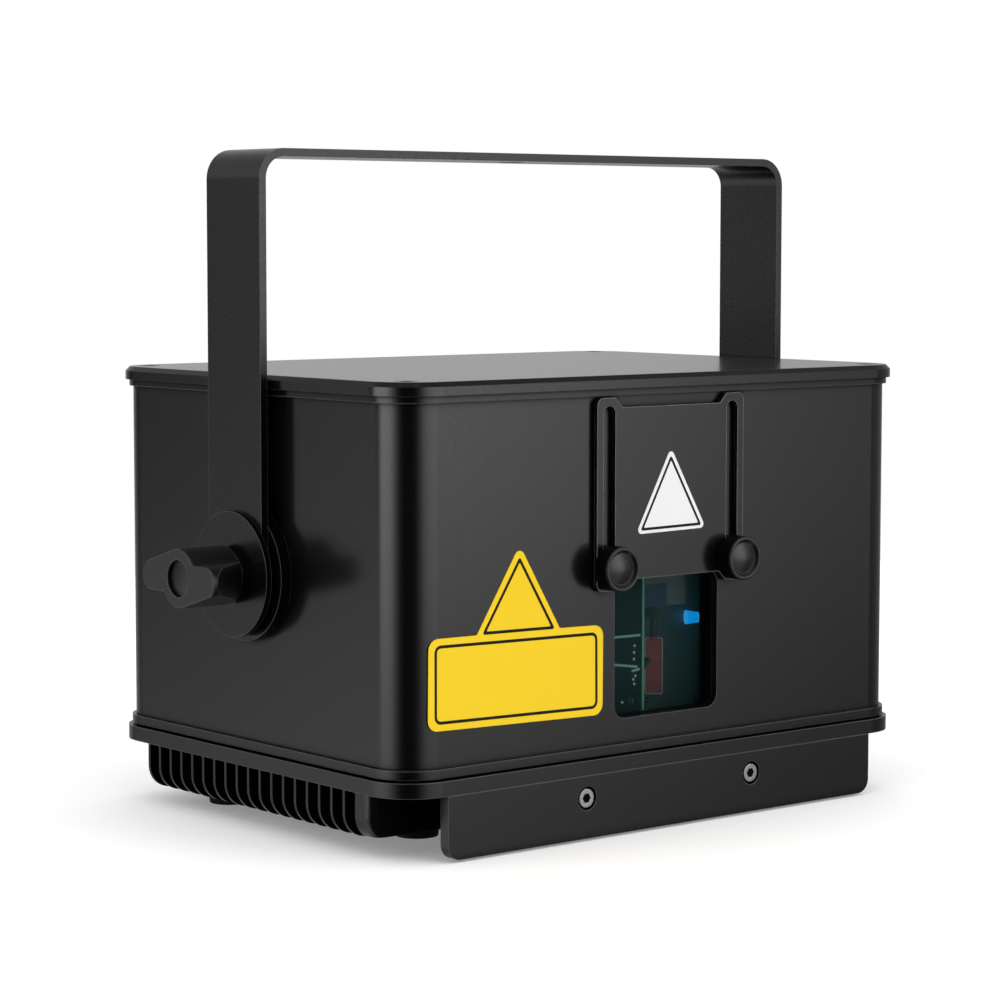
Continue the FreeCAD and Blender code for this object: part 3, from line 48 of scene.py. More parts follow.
class Graph:
    """Adds shader nodes to a material or a world.

    An entry for a socket is another socket, which is linked, or a number or colour, which is set.
    """

    def __init__(self, owner):
        owner.use_nodes = True
        self.nodes = owner.node_tree.nodes
        self.links = owner.node_tree.links

    def put(self, entry, slot):
        if isinstance(entry, bpy.types.NodeSocket):
            self.links.new(entry, slot)
        else:
            slot.default_value = entry

    def fill(self, node, entries):
        for label, entry in entries.items():
            self.put(entry, node.inputs[label])

    def add(self, kind, entries=None, **settings):
        node = self.nodes.new("ShaderNode" + kind)
        for key, value in settings.items():
            setattr(node, key, value)
        self.fill(node, entries or {})
        return node

    def calculate(self, operation, *entries):
        node = self.add("Math", dict(enumerate(entries)), operation=operation)
        return node.outputs["Value"]

    def dot(self, first, second):
        node = self.add("VectorMath", {0: first, 1: second}, operation="DOT_PRODUCT")
        return node.outputs["Value"]

    def carry(self, value, source, target=(0.0, 1.0), smooth=False):
        """A value carried from one range to another, and held at its ends."""
        entries = {"Value": value, "From Min": source[0], "From Max": source[1],
                   "To Min": target[0], "To Max": target[1]}
        kind = "SMOOTHSTEP" if smooth else "LINEAR"
        return self.add("MapRange", entries, interpolation_type=kind).outputs["Result"]

    def mix(self, share, first, second):
        entries = {"Fac": share, "Color1": first, "Color2": second}
        return self.add("MixRGB", entries, blend_type="MIX").outputs["Color"]


# Finishes

FINE_NOISE = {"Detail": 3.0, "Roughness": 0.6}
SLOW_NOISE = {"Detail": 4.0, "Roughness": 0.55}
SLOW_SIZE = 45.0            # grains to one slow change of tone
GRAIN_RANGE = (0.3, 0.7)    # fine noise, from the glossiest grain to the dullest
GLOSS_SPREAD = 0.04         # roughness on either side of the finish's own
LEAST_ROUGHNESS = 0.02
EDGE_RANGE = (0.985, 0.78)  # cosine from flat to softened side, from no painted highlight to full
FACE_RANGE = (0.35, 0.8)    # how squarely a side faces along the axis, from painted shade to gloss
OPEN_RANGE = (0.45, 0.9)    # how open a place is, from a crevice to a free side
CREVICE_GLOSS = 0.05        # share of the gloss that a crevice keeps, under painted shade
EDGE_SAMPLES, CREVICE_SAMPLES = 4, 6


def opaque(colour):
    return list(colour) + [1]


def surface(name, colour, roughness, metallic=0.0, specular=0.5, alpha=1.0, glow=0.0,
            grain=1100.0, depth=0.000003, stretch=(1.0, 1.0, 1.0), patch=0.25, edge=0.0003,
            edge_highlight=0.0, above=None, face=None, shaded_share=0.08, heights=None, crevice=0.0):
    """A finish with fine grain in gloss and relief, slow change of tone, and softened edges.

    Edges get a painted highlight: a paler colour along them. Above a height, the piece may
    have another colour. With a face axis, only the sides that look along it keep their gloss;
    the others keep the shaded share of it, or, between two heights, more and more; this is
    painted shade. A crevice reach paints shade into seams and inner corners by taking the gloss
    out of them. Lengths are in metres.
    """
    material = bpy.data.materials.new(name)
    graph = Graph(material)
    shader = graph.nodes["Principled BSDF"]
    place = graph.add("TexCoord").outputs

    def height():
        return graph.add("SeparateXYZ", {"Vector": place["Object"]}).outputs["Z"]

    def noise(scale, detail):
        return graph.add("TexNoise", {"Vector": stretched, "Scale": scale, **detail}).outputs["Fac"]

    mapping = graph.add("Mapping", {"Vector": place["Object"], "Scale": stretch})
    stretched = mapping.outputs["Vector"]
    fine = noise(grain, FINE_NOISE)
    slow = noise(grain / SLOW_SIZE, SLOW_NOISE)
    rounded = graph.add("Bevel", {"Radius": edge}, samples=EDGE_SAMPLES).outputs["Normal"]
    relief = graph.add("Bump", {"Height": fine, "Normal": rounded, "Strength": 1.0,
                                "Distance": depth})

    darker = [channel * (1 - patch) for channel in colour]
    paler = [min(1.0, channel * (1 + patch)) for channel in colour]
    tone = graph.mix(slow, opaque(darker), opaque(paler))
    if above:
        level, upper_colour = above
        tone = graph.mix(graph.calculate("GREATER_THAN", height(), level), tone,
                         opaque(upper_colour))
    # Painted highlight: the tone turns pale where the softened normal leaves the flat one.
    if edge_highlight:
        bend = graph.dot(rounded, graph.add("NewGeometry").outputs["Normal"])
        tone = graph.mix(graph.carry(bend, EDGE_RANGE), tone, opaque([edge_highlight] * 3))

    gloss = (max(LEAST_ROUGHNESS, roughness - GLOSS_SPREAD), roughness + GLOSS_SPREAD)
    graph.fill(shader, {"Base Color": tone, "Metallic": metallic, "Alpha": alpha,
                        "Roughness": graph.carry(fine, GRAIN_RANGE, gloss),
                        "Specular IOR Level": specular, "Normal": relief.outputs["Normal"]})
    # Painted light: the tone glows, though the part is no lamp.
    if glow:
        graph.fill(shader, {"Emission Strength": glow, "Emission Color": tone})

    sheen = specular
    # Painted shade: sides that don't look along the face axis keep only a share of the gloss; with
    # heights, only low down.
    if face:
        least = specular * shaded_share
        if heights:
            least = graph.carry(height(), heights, (least, specular), smooth=True)
        squarely = graph.calculate("ABSOLUTE", graph.dot(place["Normal"], face))
        sheen = graph.carry(squarely, FACE_RANGE, (least, specular), smooth=True)
    # Painted shade: ambient occlusion takes the gloss out of seams and inner corners.
    if crevice:
        around = graph.add("AmbientOcclusion", {"Distance": crevice}, samples=CREVICE_SAMPLES)
        kept = graph.carry(around.outputs["AO"], OPEN_RANGE, (CREVICE_GLOSS, 1.0))
        sheen = graph.calculate("MULTIPLY", sheen, kept)
    graph.put(sheen, shader.inputs["Specular IOR Level"])
    return material


BLACK = (0.002, 0.002, 0.0022)
DEEP_GREY = (0.03, 0.042, 0.045)
SIDEWAYS, FORWARD, OUT_AND_UP = (1.0, 0.0, 0.0), (0.0, 1.0, 0.0), (0.8, 0.0, 0.6)

yoke_base = nodes["yoke"].matrix_world.translation.z
# The yoke's sides carry painted shade up to the first height and none from the second.
LEG_SHADED_TO, LEG_UNSHADED_FROM = 0.15, 0.2
yoke_shade_heights = (LEG_SHADED_TO - yoke_base, LEG_UNSHADED_FROM - yoke_base)

MIRROR_HALF_WIDTH, MIRROR_HALF_THICKNESS, MIRROR_LENGTH = 3.5, 0.6, 22.0
MIRROR_MARGIN = 0.0002
mirror_base = nodes["scan_mirror_x"].matrix_world.translation.z
mirror_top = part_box("scan_mirror_x")[0][2] + MIRROR_LENGTH * MM
mirror_stem = (mirror_top - mirror_base + MIRROR_MARGIN, DEEP_GREY)

# The case, its fittings and the yoke
# Crevice reaches paint shade into seams and under overhangs.
# The pale edges of these finishes are a painted highlight.
case_black = surface("case_black", BLACK, 0.22, edge=0.0005, edge_highlight=0.16, crevice=0.005)
tube_black = surface("tube_black", BLACK, 0.22, edge=0.0004, edge_highlight=0.2, crevice=0.0035)
cover_black = surface("cover_black", BLACK, 0.2, edge_highlight=0.03, crevice=0.003)
# With a face axis, the other sides of a finish carry painted shade.
yoke_black = surface("yoke_black", BLACK, 0.26, grain=900.0, depth=0.000001, edge=0.0004,
                     edge_highlight=0.16, face=OUT_AND_UP, shaded_share=0.15, heights=yoke_shade_heights)
shutter_black = surface("shutter_black", BLACK, 0.22, edge=0.0005, edge_highlight=0.4, face=FORWARD)
fin_black = surface("fin_black", BLACK, 0.28, edge=0.00025, edge_highlight=0.05, face=SIDEWAYS, shaded_share=0.04)
window_black = surface("window_black", (0.0015, 0.0015, 0.0015), 0.5, specular=0.12, edge=0.0004)
knob_black = surface("knob_black", BLACK, 0.36, specular=0.7, grain=1600.0, edge=0.0006,
                     edge_highlight=0.15)
thumb_black = surface("thumb_black", BLACK, 0.36, specular=0.66, grain=1600.0, depth=0.000001,
                      edge=0.0005, edge_highlight=0.05, face=FORWARD)
cap_black = surface("cap_black", (0.004, 0.004, 0.0043), 0.32, grain=1600.0, edge_highlight=0.02)
moulded_black = surface("moulded_black", (0.008, 0.008, 0.0085), 0.42, grain=1900.0, edge=0.0004)
disc_black = surface("disc_black", BLACK, 0.24, edge=0.0004, edge_highlight=0.15, face=SIDEWAYS)
rubber_black = surface("rubber_black", (0.003, 0.003, 0.003), 0.75, specular=0.12, grain=2200.0,
                       depth=0.00004)
gasket_black = surface("gasket_black", (0.002, 0.002, 0.002), 0.8, specular=0.1)
screw_black = surface("screw_black", (0.012, 0.012, 0.012), 0.35, metallic=0.3)
# Painted shade for hollows that are drawn as flat marks.
recess_shade = surface("recess_shade", (0.001, 0.001, 0.001), 0.7, specular=0.05)
stainless = surface("stainless", (0.44, 0.43, 0.41), 0.26, metallic=1.0, grain=1800.0,
                    patch=0.08, edge=0.0005)
plated = surface("plated", (0.55, 0.55, 0.56), 0.2, metallic=1.0, patch=0.06)
pin_brass = surface("pin_brass", (0.72, 0.52, 0.22), 0.28, metallic=1.0)

# Behind the glass
milled = surface("milled", (0.45, 0.46, 0.47), 0.38, metallic=1.0, stretch=(1.0, 6.0, 1.0),
                 patch=0.1)
dark_metal = surface("dark_metal", (0.115, 0.168, 0.158), 0.5, specular=0.2)
deep_metal = surface("deep_metal", DEEP_GREY, 0.5, specular=0.2)
motor_blue = surface("motor_blue", (0.022, 0.045, 0.12), 0.4, specular=0.2)
supply_grey = surface("supply_grey", (0.42, 0.43, 0.44), 0.4, metallic=1.0, patch=0.1)
board_green = surface("board_green", (0.028, 0.066, 0.06), 0.4, specular=0.2, grain=2600.0,
                      patch=0.3)
# Board lines, pads, the plug and the red mirror glow as painted light; none is a lamp.
board_edge = surface("board_edge", (0.12, 0.40, 0.30), 0.5, patch=0.1, glow=0.12)
track_pale = surface("track_pale", (0.40, 0.85, 0.68), 0.5, patch=0.1, glow=0.28)
pad_white = surface("pad_white", (0.80, 0.92, 0.88), 0.45, patch=0.05, glow=0.3)
part_pink = surface("part_pink", (0.30, 0.20, 0.19), 0.5, patch=0.1)
plug_blue = surface("plug_blue", (0.0, 0.35, 0.97), 0.5, specular=0.05, patch=0.05, glow=1.15)
plug_pale = surface("plug_pale", (0.03, 0.43, 0.97), 0.5, specular=0.05, patch=0.05, glow=1.1)
mirror_red = surface("mirror_red", (0.34, 0.075, 0.066), 0.4, specular=0.2, patch=0.6,
                     grain=2400.0, glow=0.06, above=mirror_stem)
mirror_edge = surface("mirror_edge", (0.45, 0.55, 0.50), 0.5, patch=0.1)
mirror_dark = surface("mirror_dark", (0.04, 0.06, 0.06), 0.2, metallic=1.0, patch=0.05)
mirror_clear = surface("mirror_clear", (0.30, 0.31, 0.32), 0.12, metallic=1.0, patch=0.03)
glass = surface("glass", (0.012, 0.034, 0.034), 0.08, specular=0.05, alpha=0.3, patch=0.08,
                depth=0.0000001)

# Print
print_yellow = surface("print_yellow", (0.9, 0.61, 0.015), 0.5, specular=0.15, patch=0.04)
print_white = surface("print_white", (0.85, 0.85, 0.85), 0.45, patch=0.03)
print_black = surface("print_black", (0.004, 0.004, 0.004), 0.5, specular=0.2)

finishes = {
    tube_black: ["housing_tube"],
    case_black: ["upper_frame", "lower_frame", "base_flange", "front_skirt", "rear_panel"],
    window_black: ["window_frame"],
    cover_black: ["top_cover"],
    yoke_black: ["yoke", "safety_lug"],
    shutter_black: ["shutter_plate"],
    fin_black: ["heat_sink"],
    knob_black: ["side_knob_left", "side_knob_right"],
    cap_black: ["knob_cap_left", "knob_cap_right"],
    thumb_black: ["thumb_knob_left", "thumb_knob_right"],
    moulded_black: ["power_inlet", "rocker_frame", "power_rocker", "fan_frame", "fan_rotor"],
    disc_black: ["inner_discs", "outer_discs"],
    rubber_black: ["rubber_feet"],
    gasket_black: ["base_gasket"],
    stainless: ["skirt_screws", "skirt_spacers", "thumb_studs", "slide_washers", "stud_nuts",
                "pivot_studs", "pivot_bushes", "board_posts"],
    screw_black: ["cover_screws", "base_screws", "panel_screws"],
    plated: ["data_socket", "signal_sockets", "key_switch", "key_rotor"],
    milled: ["laser_red", "laser_green", "laser_blue", "mirror_mounts"],
    dark_metal: ["scanner_block"],
    deep_metal: ["optics_plate", "galvo_motor_x", "galvo_motor_y"],
    supply_grey: ["power_supply"],
    board_green: ["scanner_board", "control_board"],
    mirror_red: ["scan_mirror_x"],
    mirror_dark: ["scan_mirror_y"],
    mirror_clear: ["combiner_mirrors"],
    plug_blue: ["galvo_plug"],
    glass: ["window_glass"],
}
for material, names in finishes.items():
    for name in names:
        slots = nodes[name].data.materials
        slots.clear()
        slots.append(material)


# Outlines, in millimetres

def neighbours(corners):
    """Each corner of a polygon, with the one before it and the one after it."""
    count = len(corners)
    for index in range(count):
        yield tuple(Vector(corners[(index + step) % count]) for step in (-1, 0, 1))


def offset_outline(corners, distance):
    """Moves every side of a polygon inward. Corners run anticlockwise."""
    moved = []
    for before, here, after in neighbours(corners):
        first, second = (here - before).normalized(), (after - here).normalized()
        inward_first = Vector((-first.y, first.x))
        inward_second = Vector((-second.y, second.x))
        middle = inward_first + inward_second
        moved.append(here + middle * (distance / (1 + inward_first.dot(inward_second))))
    return moved


def round_outline(corners, radii, steps=7):
    """Rounds each corner of a polygon by its own radius."""
    points = []
    for (before, here, after), radius in zip(neighbours(corners), radii):
        back, ahead = (before - here).normalized(), (after - here).normalized()
        half = math.acos(max(-1.0, min(1.0, back.dot(ahead)))) / 2
        reach = radius / math.tan(half)
        middle = here + (back + ahead).normalized() * (radius / math.sin(half))
        start, end = here + back * reach - middle, here + ahead * reach - middle
        turn = math.atan2(start.x * end.y - start.y * end.x, start.dot(end))
        for step in range(steps + 1):
            angle = turn * step / steps
            cosine, sine = math.cos(angle), math.sin(angle)
            points.append(middle + Vector((start.x * cosine - start.y * sine,
                                           start.x * sine + start.y * cosine)))
    return points


def strip(start, end, width):
    """The outline of a straight track with cut corners."""
    first, last = Vector(start), Vector(end)
    along = (last - first).normalized()
    across = Vector((-along.y, along.x)) * (width / 2)
    notch = along * (width / 4)
    return [first + notch - across, last - notch - across, last - across / 2, last + across / 2,
            last - notch + across, first + notch + across, first + across / 2, first - across / 2]


def ring(centre, radius, count=12, start=0.0):
    turns = [start + math.tau * step / count for step in range(count)]
    return [(centre[0] + radius * math.cos(turn), centre[1] + radius * math.sin(turn))
            for turn in turns]


def cross(centre, reach, half):
    """The outline of a cross recess."""
    corners = [(half, half), (half, reach), (-half, reach), (-half, half),
               (-reach, half), (-reach, -half), (-half, -half), (-half, -reach),
               (half, -reach), (half, -half), (reach, -half), (reach, half)]
    return [(centre[0] + u, centre[1] + v) for u, v in corners]


# Pieces. spot(u, v, w) gives the place of an outline's point (u, v) at height w, in millimetres

def mesh_piece(name, build, material, body):
    mesh = bpy.data.meshes.new(name)
    shape = bmesh.new()
    build(shape)
    bmesh.ops.recalc_face_normals(shape, faces=shape.faces)
    shape.to_mesh(mesh)
    shape.free()
    mesh.materials.append(material)
    piece = bpy.data.objects.new(name, mesh)
    bpy.context.scene.collection.objects.link(piece)
    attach(piece, body)
    return piece


def add_loop(shape, points):
    return [shape.verts.new(Vector(point) * MM) for point in points]


def add_wall(shape, one, two):
    """Faces between two loops with the same number of points."""
    for index in range(len(one)):
        following = (index + 1) % len(one)
        shape.faces.new((one[index], one[following], two[following], two[index]))


def prisms(name, outlines, spot, reach, material, body):
    """Several flat islands in one piece."""
    def build(shape):
        for outline in outlines:
            low, high = [add_loop(shape, [spot(u, v, height) for u, v in outline])
                         for height in (0.0, reach)]
            shape.faces.new(low)
            shape.faces.new(high)
            add_wall(shape, low, high)
    return mesh_piece(name, build, material, body)


def closed_line(name, outer, inner, spot, reach, material, body):
    """A closed raised line between two outlines with the same number of points."""
    def build(shape):
        section = ((outer, 0.0), (inner, 0.0), (inner, reach), (outer, reach))
        loops = [add_loop(shape, [spot(u, v, height) for u, v in outline])
                 for outline, height in section]
        for one, two in zip(loops, loops[1:] + loops[:1]):
            add_wall(shape, one, two)
    return mesh_piece(name, build, material, body)


def turned(name, start, end, profiles, material, body, count=28):
    """Turned forms about one line, with flat ends.

    A profile lists distances along the line, each with a radius.
    """
    first = Vector(start)
    along = (Vector(end) - first).normalized()
    across = along.cross(Vector((0, 0, 1))).normalized()
    upward = across.cross(along)
    turns = [math.tau * step / count for step in range(count)]
    spokes = [across * math.cos(turn) + upward * math.sin(turn) for turn in turns]

    def build(shape):
        for profile in profiles:
            loops = [add_loop(shape, [first + along * distance + spoke * radius
                                      for spoke in spokes]) for distance, radius in profile]
            shape.faces.new(loops[0])
            shape.faces.new(loops[-1])
            for one, two in zip(loops, loops[1:]):
                add_wall(shape, one, two)
    return mesh_piece(name, build, material, body)


def box_mm(node):
    return [Vector(corner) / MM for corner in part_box(node)]


def on_front(level):
    return lambda u, v, w: (u, level - w, v)


def on_left(level):
    return lambda u, v, w: (level - w, u, v)


def on_back(level):
    return lambda u, v, w: (u, level + w, v)


def on_top(level):
    return lambda u, v, w: (u, v, level + w)


def on_underside(level):
    return lambda u, v, w: (u, v, level - w)


# Printed marks, without words or symbols

PRINT_DEPTH = 0.12
LINE_DEPTH = PRINT_DEPTH / 3
LEAST_LINE_RADIUS = 0.3
LABEL_LINE_WIDTH, SIGN_LINE_WIDTH = 1.1, 1.0
front_face = box_mm("housing_tube")[0].y
shutter_face = box_mm("shutter_plate")[0].y


def print_plate(name, corners, radii, level, material, body):
    prisms(name, [round_outline(corners, radii)], on_front(level), PRINT_DEPTH, material, body)


def print_line(name, corners, width, radius, level, body):
    """A closed black line of even width inside a polygon, on a plate that lies at a level."""
    inner_radius = max(LEAST_LINE_RADIUS, radius - width)
    outer = round_outline(corners, [radius] * len(corners))
    inner = round_outline(offset_outline(corners, width), [inner_radius] * len(corners))
    closed_line(name, outer, inner, on_front(level - PRINT_DEPTH), LINE_DEPTH, print_black, body)


label_corners = [(-114.4, 47.8), (-32.1, 45.9), (-31.9, 79.5), (-53.1, 80.0), (-72.2, 111.8),
                 (-92.1, 80.6), (-114.1, 80.8)]
label_radii = [4.2, 4.2, 4.2, 1.2, 2.4, 1.2, 4.2]
print_plate("label_plate", label_corners, label_radii, front_face, print_yellow, "projector")
print_line("label_line", [(-111.4, 50.1), (-34.6, 48.5), (-34.8, 77.0), (-111.4, 78.4)],
           LABEL_LINE_WIDTH, 2.8, front_face, "projector")
print_line("label_line_above", [(-89.7, 80.5), (-55.4, 79.9), (-72.2, 107.5)],
           LABEL_LINE_WIDTH, 0.7, front_face, "projector")

sign_corners = [(-18.0, 112.3), (17.5, 112.8), (-0.5, 144.1)]
print_plate("shutter_mark", sign_corners, [1.6] * 3, shutter_face, print_white, "shutter")
print_line("shutter_mark_line", [(-15.8, 113.5), (15.3, 113.9), (-0.5, 141.2)],
           SIGN_LINE_WIDTH, 0.7, shutter_face, "shutter")


# Small parts behind the window

BOARD_LINE_WIDTH, BOARD_LINE_DEPTH, BOARD_LINE_INSET = 1.0, 0.15, 0.3
TRACK_WIDTH, TRACK_DEPTH = 0.9, 0.12
PAD_RADIUS, PAD_DEPTH = 0.5, 0.25
CHIP_WIDTH, CHIP_DEPTH = 2.6, 0.8
SHELF_PLATE_DEPTH, SHELF_PLATE_RADIUS = 0.3, 0.5
RIM_WIDTH, RIM_DEPTH, RIM_OUTER_RADIUS, RIM_INNER_RADIUS = 0.4, 0.08, 0.7, 0.5
SLANT = math.sqrt(0.5)

board_low, board_high = box_mm("scanner_board")
board_side = on_left(board_low.x)
board_middle = (board_low.x + board_high.x) / 2
prisms("board_edge_line", [strip((board_middle, board_low.z + BOARD_LINE_INSET),
                                 (board_middle, board_high.z - BOARD_LINE_INSET),
                                 BOARD_LINE_WIDTH)],
       on_front(board_low.y), BOARD_LINE_DEPTH, board_edge, "projector")
tracks = [((-64.0, 69.3), (-79.0, 71.8)), ((-64.0, 58.7), (-77.4, 59.5)),
          ((-74.2, 57.4), (-78.8, 58.8))]
prisms("board_tracks", [strip(start, end, TRACK_WIDTH) for start, end in tracks],
       board_side, TRACK_DEPTH, track_pale, "projector")
pads = [(-75.9, 67.4), (-75.6, 64.8), (-75.5, 62.2), (-76.4, 55.9), (-75.2, 54.4), (-75.7, 52.7),
        (-68.9, 44.8)]
prisms("board_pads", [ring(centre, PAD_RADIUS) for centre in pads], board_side, PAD_DEPTH,
       pad_white, "projector")
prisms("board_chip", [strip((-74.3, 44.9), (-74.3, 47.3), CHIP_WIDTH)], board_side, CHIP_DEPTH,
       part_pink, "projector")

shelf_corners = [(0.9, 82.2), (11.4, 82.2), (11.4, 90.6), (0.9, 90.6)]
prisms("shelf_plate", [round_outline(shelf_corners, [SHELF_PLATE_RADIUS] * 4)],
       on_front(box_mm("scanner_block")[0].y), SHELF_PLATE_DEPTH, motor_blue, "projector")

mirror_low, mirror_high = box_mm("scan_mirror_x")
mirror_middle = (mirror_low + mirror_high) / 2


def on_mirror(u, v, w):
    out = MIRROR_HALF_THICKNESS + w
    return (mirror_middle.x + SLANT * (u - out), mirror_middle.y - SLANT * (u + out),
            mirror_low.z + v)


mirror_corners = [(-MIRROR_HALF_WIDTH, 0.0), (MIRROR_HALF_WIDTH, 0.0),
                  (MIRROR_HALF_WIDTH, MIRROR_LENGTH), (-MIRROR_HALF_WIDTH, MIRROR_LENGTH)]
closed_line("mirror_rim", round_outline(mirror_corners, [RIM_OUTER_RADIUS] * 4),
            round_outline(offset_outline(mirror_corners, RIM_WIDTH), [RIM_INNER_RADIUS] * 4),
            on_mirror, RIM_DEPTH, mirror_edge, "scan_x")

# The plug tapers from its wide rim at the start to its narrow one
plug_low, plug_high = box_mm("galvo_plug")
plug_start = (plug_low.x - 2.0, plug_high.y - 2.5, plug_low.z + 3.5)
plug_end = (plug_low.x + 2.5, plug_high.y - 5.3, plug_low.z + 3.4)
plug_taper = [(0.7, 2.72), (4.8, 2.06)]
wide_rim = [(0.0, 2.55), (0.25, 2.8), (0.7, 2.72)]
narrow_rim = [(4.8, 2.12), (5.2, 2.1), (5.3, 2.0)]
plug_body = turned("plug_body", plug_start, plug_end, [plug_taper], plug_blue, "projector")
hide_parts("galvo_plug")
turned("plug_rims", plug_start, plug_end, [wide_rim, narrow_rim], plug_pale, "projector")


# Recesses in screw heads, drawn as flat black marks of painted shade

HEX_TURN = math.tau / 12
RECESS = 0.04
CASE_HEAD, SKIRT_HEAD, PANEL_HEAD = 4.0, 3.5, 3.0    # radii of the heads
CASE_SOCKET, SKIRT_SOCKET = 2.3, 1.9
CROSS_REACH, CROSS_HALF_WIDTH = 1.7, 0.35


def head_centres(node, first, second, head):
    """The middles of four equal screw heads at the corners of a group, along two axes."""
    low, high = box_mm(node)
    return [(u, v) for u in (low[first] + head, high[first] - head)
            for v in (low[second] + head, high[second] - head)]


for name, node, side_at, level in (("cover_sockets", "cover_screws", on_top, 1),
                                   ("base_sockets", "base_screws", on_underside, 0)):
    centres = head_centres(node, 0, 1, CASE_HEAD)
    prisms(name, [ring(centre, CASE_SOCKET, 6, HEX_TURN) for centre in centres],
           side_at(box_mm(node)[level].z), RECESS, recess_shade, "projector")

screw_low, screw_high = box_mm("skirt_screws")
screw_level = (screw_low.z + screw_high.z) / 2
screw_sides = (screw_low.x + SKIRT_HEAD, screw_high.x - SKIRT_HEAD)
prisms("skirt_sockets", [ring((side, screw_level), SKIRT_SOCKET, 6) for side in screw_sides],
       on_front(screw_low.y), RECESS, recess_shade, "projector")
prisms("panel_recesses", [cross(centre, CROSS_REACH, CROSS_HALF_WIDTH)
                          for centre in head_centres("panel_screws", 0, 2, PANEL_HEAD)],
       on_back(box_mm("panel_screws")[1].y), RECESS, recess_shade, "projector")


# Contacts on the rear panel

BLADE_HALF, BLADE_WIDTH, BLADE_FROM, BLADE_LENGTH = 2.2, 2.0, 2.5, 13.0
blade_places = ((-7.0, -1.2), (0.0, 1.6), (7.0, -1.2))
inlet_low, inlet_high = box_mm("power_inlet")
inlet_middle = (inlet_low + inlet_high) / 2
prisms("inlet_blades", [strip((inlet_middle.x + side, inlet_middle.z + rise - BLADE_HALF),
                              (inlet_middle.x + side, inlet_middle.z + rise + BLADE_HALF),
                              BLADE_WIDTH) for side, rise in blade_places],
       on_back(inlet_low.y + BLADE_FROM), BLADE_LENGTH, plated, "projector")

SIGNAL_HALF, SIGNAL_RECESS = 13.0, 3.0
INSERT_RADIUS, INSERT_DEPTH = 8.7, 0.8
CONTACT_CIRCLE, CONTACT_RADIUS, CONTACT_LENGTH = 3.6, 1.2, 1.8
CONTACT_TURNS = [math.radians(angle) for angle in (30, 150, 270)]
FIXING_OFFSET, FIXING_RADIUS, FIXING_DEPTH = 10.4, 1.5, 0.5
signal_low, signal_high = box_mm("signal_sockets")
signal_level = (signal_low.z + signal_high.z) / 2
signal_floor = signal_high.y - SIGNAL_RECESS
signal_centres = [(side, signal_level)
                  for side in (signal_low.x + SIGNAL_HALF, signal_high.x - SIGNAL_HALF)]
prisms("signal_inserts", [ring(centre, INSERT_RADIUS, 32) for centre in signal_centres],
       on_back(signal_floor), INSERT_DEPTH, moulded_black, "projector")
pins, holes = [[ring((u + CONTACT_CIRCLE * math.cos(turn), v + CONTACT_CIRCLE * math.sin(turn)),
                     CONTACT_RADIUS) for turn in CONTACT_TURNS] for u, v in signal_centres]
prisms("signal_pins", pins, on_back(signal_floor + INSERT_DEPTH), CONTACT_LENGTH, plated,
       "projector")
# The contact holes are flat black marks of painted shade.
prisms("signal_holes", holes, on_back(signal_floor + INSERT_DEPTH), RECESS, recess_shade,
       "projector")
prisms("signal_fixings", [ring((u + way * FIXING_OFFSET, v + way * FIXING_OFFSET), FIXING_RADIUS)
                          for u, v in signal_centres for way in (-1, 1)],
       on_back(signal_high.y), FIXING_DEPTH, screw_black, "projector")

DATA_HALF, DATA_RISE, DATA_SLOPE = 18.6, 3.3, 1.2
PITCH, ROW_RISE, HOLE_RADIUS = 2.76, 1.4, 0.6
POST_SIDE, POST_RADIUS, POST_FROM, POST_LENGTH = 23.5, 2.6, 4.5, 4.0
data_rows = ((13, ROW_RISE), (12, -ROW_RISE))
data_low, data_high = box_mm("data_socket")
data_middle = (data_low + data_high) / 2
prisms("data_insert", [[(data_middle.x - DATA_HALF + DATA_SLOPE, data_middle.z - DATA_RISE),
                        (data_middle.x + DATA_HALF - DATA_SLOPE, data_middle.z - DATA_RISE),
                        (data_middle.x + DATA_HALF, data_middle.z + DATA_RISE),
                        (data_middle.x - DATA_HALF, data_middle.z + DATA_RISE)]],
       on_back(data_high.y), RECESS, moulded_black, "projector")
prisms("data_contacts", [ring((data_middle.x + PITCH * (number - (count - 1) / 2),
                               data_middle.z + rise), HOLE_RADIUS, 10)
                         for count, rise in data_rows for number in range(count)],
       on_back(data_high.y + RECESS), RECESS, pin_brass, "projector")
prisms("data_posts", [ring((data_middle.x + side, data_middle.z), POST_RADIUS, 6)
                      for side in (-POST_SIDE, POST_SIDE)],
       on_back(data_high.y - POST_FROM), POST_LENGTH, plated, "projector")


# Marks on the rocker: a bar for on, a ring for off

ROCKER_LEAN, ROCKER_RISE = math.radians(8.0), 2.2
MARK_DEPTH, BAR_WIDTH = 0.05, 0.9
RING_CENTRE, RING_OUTER, RING_INNER = (0.0, -4.1), 1.7, 1.0
rocker_low, rocker_high = box_mm("rocker_frame")
rocker_middle = (rocker_low + rocker_high) / 2


def on_rocker(u, v, w):
    out = ROCKER_RISE + w
    cosine, sine = math.cos(ROCKER_LEAN), math.sin(ROCKER_LEAN)
    return (rocker_middle.x + u, rocker_high.y + out * cosine - v * sine,
            rocker_middle.z + out * sine + v * cosine)


prisms("rocker_on_mark", [strip((0.0, 2.6), (0.0, 5.6), BAR_WIDTH)], on_rocker, MARK_DEPTH,
       print_white, "rocker")
closed_line("rocker_off_mark", ring(RING_CENTRE, RING_OUTER, 20),
            ring(RING_CENTRE, RING_INNER, 20), on_rocker, MARK_DEPTH, print_white, "rocker")


# Camera at the photograph's place

